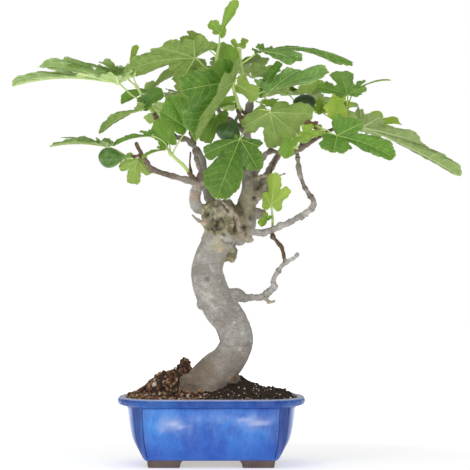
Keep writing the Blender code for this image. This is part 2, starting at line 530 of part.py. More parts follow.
def ringed_solid(name, rings, collection):
    """Closed solid through rings of (outline, z), closed by a point at its first and last level."""
    count = len(rings[0][0])
    closed = [(rings[0][0] * 0.0, rings[0][1]), *rings, (rings[-1][0] * 0.0, np.mean(rings[-1][1]))]
    shape = bmesh.new()
    bmesh.ops.create_grid(shape, x_segments=count, y_segments=len(closed) - 1, size=1.0)
    for index, vert in enumerate(shape.verts):
        level, turn = divmod(index, count + 1)
        outline, height = closed[level]
        x, y = outline[turn % count]
        vert.co = (x, y, np.broadcast_to(height, count)[turn % count])
    bmesh.ops.remove_doubles(shape, verts=shape.verts, dist=1e-7)
    bmesh.ops.recalc_face_normals(shape, faces=shape.faces)
    mesh = bpy.data.meshes.new(name)
    shape.to_mesh(mesh)
    shape.free()
    return new_object(name, mesh, collection)


def foot_block(sign_x, sign_y, collection):
    """One corner foot: a block under the base, sloped in at its inner end."""
    bpy.ops.mesh.primitive_cube_add(size=1.0)
    foot = bpy.context.object
    outer_x, outer_y = [side - inset for side, inset in zip(BASE_HALF, FOOT_INSET)]
    top = POT_BASE + FOOT_RISE
    for vert in foot.data.vertices:
        inner = vert.co.x < 0
        low = vert.co.z < 0
        back = vert.co.y < 0
        x = outer_x - FOOT_LENGTH + low * FOOT_TAPER if inner else outer_x - low * FOOT_BEVEL[0]
        y = outer_y - FOOT_WIDTH if back else outer_y - low * FOOT_BEVEL[1]
        vert.co = (x * sign_x, y * sign_y, 0.0 if low else top)
    if sign_x * sign_y < 0:
        foot.data.flip_normals()
    for holder in list(foot.users_collection):
        holder.objects.unlink(foot)
    collection.objects.link(foot)
    return foot


def cylinder(radius, low, high, x, y, sides, collection):
    bpy.ops.mesh.primitive_cylinder_add(vertices=sides, radius=radius, depth=high - low,
                                        location=(x, y, (low + high) / 2))
    item = bpy.context.object
    for holder in list(item.users_collection):
        holder.objects.unlink(item)
    collection.objects.link(item)
    return item


def box(side_x, side_y, low, high, x, y, collection):
    bpy.ops.mesh.primitive_cube_add(size=1.0, location=(x, y, (low + high) / 2))
    item = bpy.context.object
    for vert in item.data.vertices:
        vert.co = (vert.co.x * side_x, vert.co.y * side_y, vert.co.z * (high - low))
    for holder in list(item.users_collection):
        holder.objects.unlink(item)
    collection.objects.link(item)
    return item


def stand_at_pot(item):
    """Moves a piece modelled round the origin to the pot's place."""
    item.location = (item.location.x + POT_X, item.location.y + POT_Y, item.location.z)


def make_pot(parts, cutters, material):
    """Glazed pot: outer wall, rolled rim, inner wall and floor, with four feet and two holes."""
    rings = [(wall_ring(z), z) for z in WALL_LEVELS]
    rings += [(rim_ring(margin * MM), z * MM) for margin, z in RIM_PROFILE]
    rings += [(wall_ring(z, WALL), z) for z in INNER_LEVELS]
    rings.append((wall_ring(FLOOR_TOP, WALL + FLOOR_COVE), FLOOR_TOP))
    pot = ringed_solid("pot", rings, parts)
    for sign_x in (-1, 1):
        for sign_y in (-1, 1):
            foot = foot_block(sign_x, sign_y, cutters)
            boolean(pot, "UNION", foot, solver="MANIFOLD")
            remove_objects([foot])
        hole = cylinder(HOLE_RADIUS, 0.0, FLOOR_TOP * 1.3, sign_x * HOLE_X, 0.0, HOLE_SIDES, cutters)
        boolean(pot, "DIFFERENCE", hole, solver="MANIFOLD")
        remove_objects([hole])
    stand_at_pot(pot)
    finish(pot, material)
    return pot


def make_screens(parts, material):
    """A drainage screen flat on the floor over each hole."""
    for name, side in (("drain_screen_left", -1), ("drain_screen_right", 1)):
        low = FLOOR_TOP + GAP
        screen = box(SCREEN_SIDE, SCREEN_SIDE, low, low + SCREEN_THICK, side * HOLE_X, 0.0, parts)
        screen.name = name
        stand_at_pot(screen)
        finish(screen, material)


def soil_height(x, y):
    """Soil level at points in metres from the pot's middle: heaps, a clod, and a grainy relief."""
    across, back = x / MM, y / MM
    level = np.full_like(across, SOIL_EDGE / MM)
    for middle_x, middle_y, wide, deep, high in HEAPS:
        level = level + high * np.exp(-((across - middle_x) / wide) ** 2 - ((back - middle_y) / deep) ** 2)
    grain = (np.sin(across * 0.61 + 1.3) * np.sin(back * 0.53 + 0.4)
             + np.sin(across * 0.27 - back * 0.33 + 2.0) * 0.8)
    return (level + grain * 1.1) * MM


def make_soil(parts, cutters, trunk_cutter, material):
    """Soil filling the pot, with a rough heaped top, a hole for the trunk and room for the screens."""
    levels = [(wall_ring(FLOOR_TOP, WALL + FLOOR_COVE) * SOIL_FIT, FLOOR_TOP + GAP)]
    levels += [(wall_ring(z, WALL) * SOIL_FIT, z) for z in INNER_LEVELS[::-1]]
    shoulder, lip = INNER_LEVELS[0], RIM_PROFILE[-1][1] * MM
    rise = (SOIL_SIDE - shoulder) / (lip - shoulder)
    edge = (wall_ring(shoulder, WALL) * (1 - rise) + rim_ring(RIM_LIP) * rise) * SOIL_FIT
    levels.append((edge, SOIL_SIDE))
    for ring in range(SOIL_RINGS):
        spread = edge * (0.985 - ring / SOIL_RINGS)
        fade = min(1.0, 0.25 + ring * 0.5)
        height = SOIL_EDGE + (soil_height(spread[:, 0], spread[:, 1]) - SOIL_EDGE) * fade
        levels.append((spread, height))
    soil = ringed_solid("soil", levels, parts)
    for side in (-1, 1):
        low = FLOOR_TOP - 2 * MM
        high = FLOOR_TOP + 2 * GAP + SCREEN_THICK
        recess = box(SCREEN_SIDE + 2 * GAP, SCREEN_SIDE + 2 * GAP, low, high, side * HOLE_X, 0.0, cutters)
        boolean(soil, "DIFFERENCE", recess)
        remove_objects([recess])
    stand_at_pot(soil)
    boolean(soil, "DIFFERENCE", trunk_cutter)
    remove_objects([trunk_cutter])
    finish(soil, material)
    return soil


def burl(name, centre, half, grow, collection):
    """Swollen wood: a ball stretched to its half sizes, with a lumpy skin by formula."""
    shape = bmesh.new()
    bmesh.ops.create_icosphere(shape, subdivisions=2 if max(half) > LARGE_BURL else 1, radius=1.0)
    middle = place(*centre)
    for vert in shape.verts:
        x, y, z = vert.co
        lump = 1.0 + 0.07 * math.sin(5 * x + 2) * math.sin(4 * z + 1) + 0.05 * math.sin(7 * y + 3 * z)
        size = Vector([value * MM * lump + grow for value in half])
        vert.co = middle + Vector((x * size.x, y * size.y, z * size.z))
    mesh = bpy.data.meshes.new(name)
    shape.to_mesh(mesh)
    shape.free()
    return new_object(name, mesh, collection)


def wood_limb(name, points, collection, grow=0.0):
    sides = SIDES.get(name, 6)
    rows = [(x, y, z, radius + grow) for x, y, z, radius in limb_rows(points)]
    return tube(name, rows, 1, (sides - 4) // 2, collection)


def fig_spur_rows(fig):
    """Rows of the woody spur that holds a fig, ending square to the fig's axis."""
    rows = limb_rows(fig.spur)
    last = Vector(rows[-1][:3])
    ahead = (place(*fig.end) - last).normalized()
    return rows + [(*(last + ahead * SEAT_RUN), rows[-1][3])]


def make_wood(parts, material):
    """Trunk, branches, spurs and burls, grown as one piece."""
    group = new_collection("wood_pieces")
    wood_limb("trunk", TRUNK, group)
    for name, points in LIMBS.items():
        wood_limb(name, points, group)
    for name, (centre, half) in BURLS.items():
        burl(name, centre, half, 0.0, group)
    for shoot in SHOOTS:
        wood_limb(shoot.name + "_spur", shoot.seat, group)
    for fig in FIGS:
        tube(fig.name + "_spur", fig_spur_rows(fig), 1, 1, group)
    wood = fuse("trunk_and_branches", group, parts)
    finish(wood, material)
    return wood


def make_trunk_cutter(cutters):
    """The trunk's foot, larger by the gap, which cuts its hole in the soil."""
    group = new_collection("trunk_cutter_pieces")
    first = TRUNK[0]
    deeper = (first[0] - 0.5, first[1] + 1.0, first[2], first[3])
    wood_limb("trunk", (deeper, *TRUNK[1:8]), group, grow=GAP * SOCKET_PLAY)
    for name in ("root_stub", "root_left"):
        burl(name, *BURLS[name], GAP * SOCKET_PLAY, group)
    cutter = fuse("trunk_cutter", group, cutters)
    cutter.display_type = "WIRE"
    cutter.hide_render = True
    return cutter


def margin(shape, around):
    """Stalk-to-margin distance at each angle: lobes and base body, rounded into one outline."""
    body, lobes = SHAPES[shape]
    fade = np.clip((np.abs(around) - NOTCH_START) / NOTCH_RUN, 0, 1)
    total = (body * (1 - 0.85 * fade ** 2)) ** BLEND_POWER
    for angle, length, half in lobes:
        swing = np.clip(1 - np.abs((around - math.radians(angle)) / math.radians(half)) ** 3, 0, 1)
        total = total + (length * swing ** 0.4) ** BLEND_POWER
    return total ** (1 / BLEND_POWER)


def leaf_frame(leaf):
    """Base point, length, and unit vectors along, across and up from the blade."""
    base = place(*leaf.way[-1])
    run = place(*leaf.tip) - base
    ahead = run.normalized()
    up = Vector(leaf.face)
    up = (up - ahead * up.dot(ahead)).normalized()
    return base, run.length, ahead, up.cross(ahead), up


def blade_points(leaf, along, around):
    """Points of a blade, for the part of the way to the margin and the angle from the middle rib.

    A blade arches between its stalk and its tip, swells between the ribs, waves at the margin,
    and each half is turned up about the middle rib by its fold angle.
    """
    base, length, ahead, side, up = leaf_frame(leaf)
    reach = along * margin(leaf.shape, around)
    forward, lateral = reach * np.cos(around), reach * np.sin(around)
    swell = np.full_like(reach, np.inf)
    for angle, _, _ in SHAPES[leaf.shape][1]:
        swell = np.minimum(swell, reach * np.abs(np.sin(around - math.radians(angle))))
    swell = swell * PUFF
    turn = np.radians(np.where(lateral > 0, leaf.fold[0], leaf.fold[1]))
    height = np.abs(lateral) * np.sin(turn) + swell * np.cos(turn)
    lateral = lateral * np.cos(turn) - np.sign(lateral) * swell * np.sin(turn)
    height = height + leaf.arch * 4 * reach * (1 - reach)
    height = height + MARGIN_WAVE * along ** 2 * np.sin(7 * around + length * 900) * np.sin(around)
    scaled = [(part * length)[:, None] for part in (forward, lateral, height)]
    return (np.array(base) + scaled[0] * np.array(ahead) + scaled[1] * np.array(side)
            + scaled[2] * np.array(up))


def outline_angles(shape, parts):
    """Angles that the outline needs: the given parts of each lobe's half width, and both ends."""
    _, lobes = SHAPES[shape]
    angles = [-BLADE_END, 0.0, BLADE_END]
    for angle, _, half in lobes:
        for part in parts:
            angles.append(math.radians(angle + half * part))
    angles = sorted(angle for angle in angles if abs(angle) <= BLADE_END)
    kept = [angles[0]]
    for angle in angles[1:]:
        if angle - kept[-1] > TURN_LEAST:
            kept.append(angle)
    return np.array(kept)


def make_blade(name, leaf, collection):
    """Leaf blade: a grid laid on blade_points, split into triangles, then given its thickness."""
    large = leaf_frame(leaf)[1] > LARGE_LEAF
    angles = outline_angles(leaf.shape, (-0.95, -0.55, 0.55, 0.95) if large else (-0.85, 0.0, 0.85))
    rings = (0.0, 0.55, 1.0) if large else (0.0, 1.0)
    shape = bmesh.new()
    bmesh.ops.create_grid(shape, x_segments=len(angles) - 1, y_segments=len(rings) - 1, size=1.0)
    shape.verts.ensure_lookup_table()
    level, turn = np.divmod(np.arange(len(shape.verts)), len(angles))
    points = blade_points(leaf, np.array(rings)[level], angles[turn])
    for vert, point in zip(shape.verts, points):
        vert.co = point
    bmesh.ops.remove_doubles(shape, verts=shape.verts, dist=1e-6)
    bmesh.ops.triangulate(shape, faces=shape.faces)
    mesh = bpy.data.meshes.new(name)
    shape.to_mesh(mesh)
    shape.free()
    sheet = new_object(name + "_sheet", mesh, collection)
    solid = sheet.modifiers.new("thickness", "SOLIDIFY")
    solid.thickness = BLADE_THICK
    solid.offset = 0.0
    item = new_object(name, mesh_of(sheet), collection)
    remove_objects([sheet])
    return item


def nearest_on(rows, point):
    """The place nearest to a point on a path of (x, y, z, radius) rows."""
    path = smooth_path(rows, 8)[:, :3]
    return path[np.argmin(((path - np.array(point)) ** 2).sum(axis=1))]


def make_stalk(name, leaf, stem_rows, collection):
    """Leaf stalk from the stem into the notch at the foot of the blade."""
    way = [place(*point) for point in leaf.way]
    start = nearest_on(stem_rows, way[0])
    base, _, ahead, _, _ = leaf_frame(leaf)
    way[-1:] = [base - ahead * STALK_NECK, base - ahead * STALK_REST]
    rows = [(*start, STALK_RADIUS)]
    rows += [(*point, STALK_RADIUS) for point in way[1:]]
    return tube(name, rows, 1, 0, collection)


def stem_rows(seat, stem):
    """Rows of a green stem that starts a gap beyond the flat end of its woody spur."""
    spur = limb_rows(seat)
    last, before = Vector(spur[-1][:3]), Vector(spur[-2][:3])
    ahead = (last - before).normalized()
    radius = spur[-1][3] * 0.92
    rows = [(*(last + ahead * reach), radius) for reach in (GAP, GAP + SEAT_RUN)]
    return rows + limb_rows(stem)


def make_shoot(shoot, parts, material):
    """One leafy shoot: stem, stalks and blades, grown as one piece."""
    group = new_collection(shoot.name + "_pieces")
    rows = stem_rows(shoot.seat, shoot.stem)
    tube(shoot.name + "_stem", rows, 1, 1, group)
    for number, leaf in enumerate(shoot.leaves):
        make_stalk(f"stalk_{number}", leaf, rows, group)
        make_blade(f"blade_{number}", leaf, group)
    item = fuse(shoot.name, group, parts)
    finish(item, material)
    return item


def make_fig(fig, parts, material):
    """Fig: a turned profile from its stalk to the blossom end, seated on its woody spur."""
    end, seat = place(*fig.end), Vector(fig_spur_rows(fig)[-1][:3])
    start = seat + (end - seat).normalized() * GAP
    axis = end - start
    shape = bmesh.new()
    rows = ((1.0, 0.0), *FIG_PROFILE[::-1], (0.0, 0.0))
    verts = [shape.verts.new((radius * fig.radius * MM, 0.0, along * axis.length)) for along, radius in rows]
    for first, second in zip(verts, verts[1:]):
        shape.edges.new((first, second))
    mesh = bpy.data.meshes.new(fig.name)
    shape.to_mesh(mesh)
    shape.free()
    profile = new_object(fig.name + "_profile", mesh, parts)
    turning = profile.modifiers.new("turning", "SCREW")
    turning.steps = FIG_STEPS
    turning.render_steps = FIG_STEPS
    turning.use_merge_vertices = True
    turning.merge_threshold = 1e-6
    turned = new_object(fig.name, mesh_of(profile), parts)
    remove_objects([profile])
    turned.location = start
    turned.rotation_euler = axis.to_track_quat("Z", "Y").to_euler()
    finish(turned, material)
    return turned


def main():
    clear_scene()
    parts = new_collection("fig_bonsai")
    cutters = new_collection("cutters")
    materials = {name: new_material(name, colour, 0.5) for name, colour in COLOURS.items()}
    make_pot(parts, cutters, materials["glaze"])
    make_screens(parts, materials["screen"])
    make_soil(parts, cutters, make_trunk_cutter(cutters), materials["soil"])
    make_wood(parts, materials["bark"])
    for shoot in SHOOTS:
        make_shoot(shoot, parts, materials["leaf"])
    for fig in FIGS:
        make_fig(fig, parts, materials["fig"])


main()
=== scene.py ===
"""Fig bonsai in its glazed pot: the finished surfaces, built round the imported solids, in metres.

The plant is laid out on the same grid as its solids. A place is (across, down, depth): a cell of the
470 by 470 front view, and mm behind the pot's middle. A point of a limb adds its radius in mm.
Lengths on a leaf are parts of the leaf's own length, and angles on it are in degrees from its middle rib.
In the tables a comma ends a row, and spaces part its numbers.
"""
import math
from collections import namedtuple

import bpy
import numpy as np
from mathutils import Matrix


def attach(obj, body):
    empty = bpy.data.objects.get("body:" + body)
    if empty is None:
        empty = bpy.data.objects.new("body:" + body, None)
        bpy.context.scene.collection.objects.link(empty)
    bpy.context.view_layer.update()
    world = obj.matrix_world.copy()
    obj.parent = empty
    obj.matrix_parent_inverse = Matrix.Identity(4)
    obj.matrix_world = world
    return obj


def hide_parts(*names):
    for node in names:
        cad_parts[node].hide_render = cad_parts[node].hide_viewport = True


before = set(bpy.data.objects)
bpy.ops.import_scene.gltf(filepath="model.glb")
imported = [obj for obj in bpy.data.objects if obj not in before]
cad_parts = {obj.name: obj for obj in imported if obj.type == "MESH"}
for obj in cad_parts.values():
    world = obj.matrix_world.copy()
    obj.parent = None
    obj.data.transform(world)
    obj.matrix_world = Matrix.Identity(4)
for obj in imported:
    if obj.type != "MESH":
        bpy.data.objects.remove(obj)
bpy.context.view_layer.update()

bl_info = {
    "name": "Fig Bonsai",
    "version": (1, 0, 0),
    "blender": (4, 5, 0),
    "location": "View3D > Sidebar > Fig Bonsai",
    "description": "Builds the surfaces of a common fig bonsai in a glazed pot",
    "category": "Add Mesh",
}

MM = 0.001

# Front view
CELL = 1.35 * MM
VIEW_MIDDLE = 235.0
VIEW_CELLS = 470.0
EYE_DISTANCE = 3.8
EYE_HEIGHT = 309.5 * MM
EYE_ACROSS = 31.7 * MM
POT_X = -31.5 * MM
POT_Y = -49.7 * MM
FILM_WIDTH = 36.0

# Pot, as in the solids
RIM_HALF = (126.0 * MM, 97.0 * MM)
RIM_LIP = 11.0 * MM
BODY_HALF = (114.0 * MM, 86.5 * MM)
BASE_HALF = (88.0 * MM, 64.0 * MM)
POT_BASE = 9.5 * MM
WALL_TOP = 80.0 * MM
WALL = 6.0 * MM
FLOOR_TOP = 17.5 * MM
FLOOR_COVE = 4.0 * MM
RIM_CORNER = (72.0 * MM, 12.0 * MM)
CORNER_TOP = (66.0 * MM, 10.0 * MM)
CORNER_FOOT = (83.5 * MM, 58.5 * MM)
INNER_CORNER = (0.626, 0.14)
GROOVE_TOP = (91.3 * MM, 58.0 * MM)
GROOVE_FOOT = (83.5 * MM, 56.5 * MM)
GROOVE_DEPTH = 1.6 * MM
GROOVE_HALF = 2.0 * MM
GROOVE_SPACE = 1.5
FOOT_LENGTH = 53.0 * MM
FOOT_WIDTH = 28.0 * MM
FOOT_TAPER = 9.0 * MM
HOLE_RADIUS = 11.0 * MM
HOLE_X = 48.0 * MM
SCREEN_SIDE = 30.0 * MM
SCREEN_THICK = 0.8 * MM
SCREEN_WIRES = 15
WIRE_RADIUS = 0.19 * MM
GAP = 0.3 * MM
SOIL_EDGE = 90.0
SOIL_SIDE = 86.0 * MM

# Plant, as in the solids
BLADE_END = math.radians(150.0)
STALK_NECK = 2.4 * MM
PUFF = 0.16
MARGIN_WAVE = 0.018
LARGE_LEAF = 62.0 * MM
SEAT_RUN = 2.5 * MM

# Leaves: points round the margin and from the stalk to the margin, side veins to one leaf length, teeth
LARGE_BLADE = (264, 10)
SMALL_BLADE = (150, 7)
SIDE_VEINS = 9.0
TOOTH = 0.070
TOOTH_DEPTH = 0.017

# Sides of the tubes, and angles in degrees past which an edge is sharp
TRUNK_SIDES, LIMB_SIDES, STEM_SIDES, STALK_SIDES, FIG_SIDES, HOLE_SIDES, WIRE_SIDES = 24, 14, 12, 8, 72, 40, 6
LEAF_EDGE, POT_EDGE, GRAIN_EDGE = 50, 38, 25

# Bark kinds, and the cells of the noise's lattice
GREY, YOUNG, DEAD = range(3)
LATTICE = 32

# Floor: where it starts to glow and where it is all white
GLOW_START = 0.3
GLOW_FULL = 0.9

Skin = namedtuple("Skin", "points quads triangles notes finish", defaults=(0,))
Leaf = namedtuple("Leaf", "way tip face shape arch fold look")
Shoot = namedtuple("Shoot", "name seat stem leaves")
Fig = namedtuple("Fig", "name spur end radius darkness")


def table(text):
    """Rows of numbers from text: a comma ends a row, and spaces part its numbers."""
    return [tuple(float(number) for number in row.split()) for row in text.split(",")]


# Leaf shapes: size of the leaf's base body, then its lobes as angle, length and half width
SHAPES = {
    "five": "0.46, 0 1 25, 47 0.86 22, -47 0.86 22, 97 0.58 27, -97 0.58 27",
    "three": "0.5, 0 1 30, 57 0.78 26, -57 0.78 26",
    "oval": "0.42, 0 1 40",
    "upright": "0.36, 0 1 30, 34 0.84 24, -34 0.84 24",
    "tongue": "0.16, 0 1 16",
    "broad_tongue": "0.24, 0 1 24",
    "strap": "0.2, 0 1 17, 52 0.34 22, -52 0.34 22",
    "prong": "0.18, 0 1 10, 46 0.46 24",
    "thumb": "0.22, 0 1 16, 66 0.42 36",
    "half_open": "0.34, 0 1 24, 42 0.74 22, -45 0.46 30",
    "front": "0.09, 0 1 29, -42 0.6 17, 47 0.62 27, 77 0.37 24",
    "folded": "0.34, 0 1 34, -42 0.76 30, 42 0.7 30",
    "fan": "0.46, 0 1 34, 76 0.86 30, -40 1 28, -78 1.22 24",
    "broad": "0.36, 0 1 24, -27 0.86 20, 30 0.62 30",
    "back": "0.4, 0 1 32, 70 0.86 22, -74 0.55 26",
    "far_left": "0.26, 0 1 10, -34 0.84 11, 28 0.46 14, -78 0.3 36, 80 0.2 34",
    "low_left": "0.26, 0 1 14, -33 0.84 15, 30 0.5 16, -80 0.34 30, 80 0.3 30",
    "near_left": "0.38, 0 1 20, 34 0.76 24, 80 0.5 32, -72 0.56 28, 128 0.36 30",
    "far_right": "0.2, 0 1 9, -15 0.6 19, 50 0.26 22, -60 0.26 28",
    "high_right": "0.16, 0 1 10, -33 0.52 24, 30 0.44 16",
    "round": "0.32, 0 1 20, -72 0.54 46, 48 0.46 22",
}

# Trunk and its limbs: across, down, depth, radius
LIMBS = {
    "trunk": ("186 416 0 22, 195 402 0 29, 204 388 0 29, 214 374 0 26.5, 227 361 2 23.5, 235 348 3 22.5, "
        "236 336 3 23, 230 321 1 22.8, 220.5 308 -2 23.2, 213 294 -4 22.6, 208.5 281 -5 22.6, "
        "207 270 -4 21, 210.5 257 -2 20.6, 217 246 0 23.5, 221 232 0 23.5"),
    "upper_trunk": ("236 238 2 14, 245 226 8 14, 244.5 212 10 14.4, 247 201 12 12.2, 248.5 187 9 8.6, "
        "245.5 168.5 3 5.4"),
    "leader": ("248 201 13 9.5, 252 187 16 7.6, 254 173 19 5.6, 252 160 20 5, 249 146 20 5, 247 130 18 5, "
        "248 116 17 5, 250 102 17 4.4"),
    "right_upper": ("254 176 18 5, 258 166 17 4.4, 264 156 12 4, 270 151 6 3.7, 279 152.8 2 3.6, "
        "290 152 0 3.5, 300 149 0 3.5, 314 140 4 3.3, 328 131 8 3, 337 127 10 2.8"),
    "right_wavy": ("241 230 0 7, 251 231.5 -9 5.4, 264 233 -17 4.2, 275 228 -22 4.2, 290 222 -26 4, "
        "301 216 -30 4, 311 209 -34 4, 313.5 202 -34 3.8, 309 194 -32 3.4, 304 185 -32 3.2, "
        "299.5 172 -30 3, 298 160 -28 2.9, 297 151 -28 2.6"),
    "right_low": ("228 298 0 12, 237 295 -6 9.5, 245 298 -13 5.6, 254 298 -19 4.2, 263 296 -24 3.9, "
        "270 291.5 -28 4.3, 274.8 287 -30 4.2, 274 280 -32 3.4, 279 270 -34 3.2, 286 262.3 -36 3.3, "
        "293 258.3 -38 2.6, 297.5 254 -40 2.4"),
    "low_spur": "264 296 -25 3.2, 269 302 -28 2.6, 275 301 -31 1.6",
    "dark_twig": "285 262 -36 2.6, 282 248 -27 2.4, 274.5 239 -14 3, 272.7 233 -9 2.6",
    "left_stub": ("206 210 0 9, 199.5 208.5 -6 8.2, 195 202 -8 8, 196 192 -8 7.2, 198.5 184 -9 7, "
        "201 176 -8 5.5"),
    "left_branch": ("203 183 -11 5.2, 190 180.5 -16 4.4, 177 177.5 -22 3.8, 165 174 -28 3.5, "
        "152 169 -33 3.4, 145 160 -37 3.2, 140.5 152 -38 2.9, 136 143 -40 2.6"),
    "upper_left": ("200.5 182 -9 5.2, 203 171 -7 4.8, 203.5 161 -2 4.4, 196 150 6 4.2, 189 141 12 4, "
        "177 137 18 3.8, 170 134 22 3.6, 163 126 24 3.5, 156 118 26 3.3"),
    "thin_twig": "193 179 -14 2, 190 166 -12 1.7, 190.5 152 -12 1.4",
    "dead_twig": "251 181 12 3, 257 178 4 2.6, 264 176 0 2.2, 275 177 -3 1.8, 285 173.5 -6 1.3",
    "thick_stub": "252 200 14 7.5, 261 193 8 6.4, 269 187 3 5.2",
    "rising_twig": "267 189 4 2.8, 270.5 174 2 2.1, 273.5 164 2 2.1, 279 154 2 2.2",
    "cut_stub": "250 214 8 7.5, 256.5 213 4 7.2, 262.5 214.5 0 6.6",
    "dead_spike": ("218 198 -17 1.8, 228 207 -26 2.6, 236 216 -26 2.9, 239 226 -21 3.3, 241 233 -15 3.6, "
        "242 239 -9 3.8"),
    "spike_stub": "238 234 -5 6, 246 238.5 -9 5.2, 253 240 -12 3.4",
    "dead_point": "209 224 -8 3, 197 219.5 -16 2.2, 192.5 215 -18 1.5",
    "top_fork": "247 134 19 4.2, 236 125 24 3.8, 224 116 28 3.6, 217.5 108 30 3.6",
    "rear_left": "216 208 16 8, 208 196 36 6, 203 176 58 4.6, 196 154 78 3.8, 192 134 96 3.2",
    "rear_right": "250 206 20 8, 258 190 42 5.6, 268 172 62 4.6, 282 150 84 3.8, 293 128 100 3.2",
    "rear_top": "249 150 24 4.2, 247 134 44 3.6, 240 116 66 3.2, 236 100 80 2.8",
}
# Wood that is long dead, and wood whose bark is still grey and smooth though it is thin
DEAD_LIMBS = ("dead_twig", "dead_spike", "dead_point", "spike_stub", "low_spur")
GREY_LIMBS = ("trunk", "right_wavy", "right_low", "left_stub", "upper_trunk", "cut_stub", "thick_stub")
THICK_LIMBS = ("trunk", "upper_trunk")
# Swollen wood: centre (across, down, depth), and half sizes in mm
BURLS = {
    "crown_burl": "221 218 1, 26.5 25 27",
    "old_wound": "216 226 -20, 11 6.5 9",
    "side_swell": "230 252 -2, 10.5 10 14.5",
    "left_bump": "202 304 -6, 7 8 8",
    "root_stub": "233 379 -14, 10 8 6.5",
    "root_left": "192 383 -4, 18 20 13",
}
# Marks on the front of the wood: across, down, reach in cells, and how dark, orange and green they are
MARKS = table(
    "207 279 2.9 0.5 0 0, 220 250 3 -0.3 0.3 0, 199 186 4 0.15 0.5 0, 216 226 9 0.1 0.2 1, "
    "246 167 5.5 0.7 0.2 0.4, 263 213 4.2 -0.2 0.5 0, 234 379 3.6 0.2 0.7 0, 203 221 4 -0.2 0.4 0, "
    "227 400 14 0.45 0 0.1, 201 176 4 0.3 0.5 0, 269 187 4 0.3 0.4 0, 192 396 13 0.3 0.2 0.1, "
    "203 330 9 -0.15 0 0.05, 250 183 12 0.25 0.1 0.5, 246 205 15 0.22 0.1 0.7, 240 228 14 0.15 0.1 0.6, "
    "263 192 9 0.25 0.2 0.4, 232 262 12 0.1 0.1 0.5, 219 244 9 -0.1 0.1 0.5, 195 372 22 0.25 0.1 0.15, "
    "240 378 7 0.25 0.15 0.1, 300 168 8 0.5 0.2 0.2, 304 184 8 0.5 0.2 0.2, 309 198 7 0.45 0.2 0.1, "
    "273 270 4 -0.3 0.7 0, 294 231 4.5 -0.1 0.5 0, 236 285 4 -0.5 0.3 0, 262 343 6.5 -0.15 0.25 0.15, "
    "196 196 6 0.1 0.5 0")
# Cracks on the front of the wood, sunk in and darkened with painted shade: half width in cells, depth in mm,
# how much painted shade darkens them, and the places they pass
CRACKS = (
    "1.2 1.8 0.7, 204 227, 208 229.5, 212 230, 215 234",
    "1 1.4 0.6, 221 239, 226 243, 232 243",
    "0.9 1.5 0.5, 212 219, 217 221, 222 219, 224 224, 221 229, 216 230",
    "1.2 2 0.5, 233 205, 235 213, 236 222, 235 232",
    "0.9 1.2 0.4, 210 207, 213 212, 212 216",
    "0.9 0.5 0.25, 221 344, 232 346.5, 243 346, 252 343",
)
# Hollows with a raised rim, darkened with painted shade: across, down, reach in cells, and depth in mm
HOLLOWS = table(
    "217.5 225 2.8 4, 224 234 2 2.4, 206 214 2.2 2.2, 243 227 2.2 2, 251 218 2.4 2.2, 254 198 2 2, "
    "228 210 1.8 1.6")

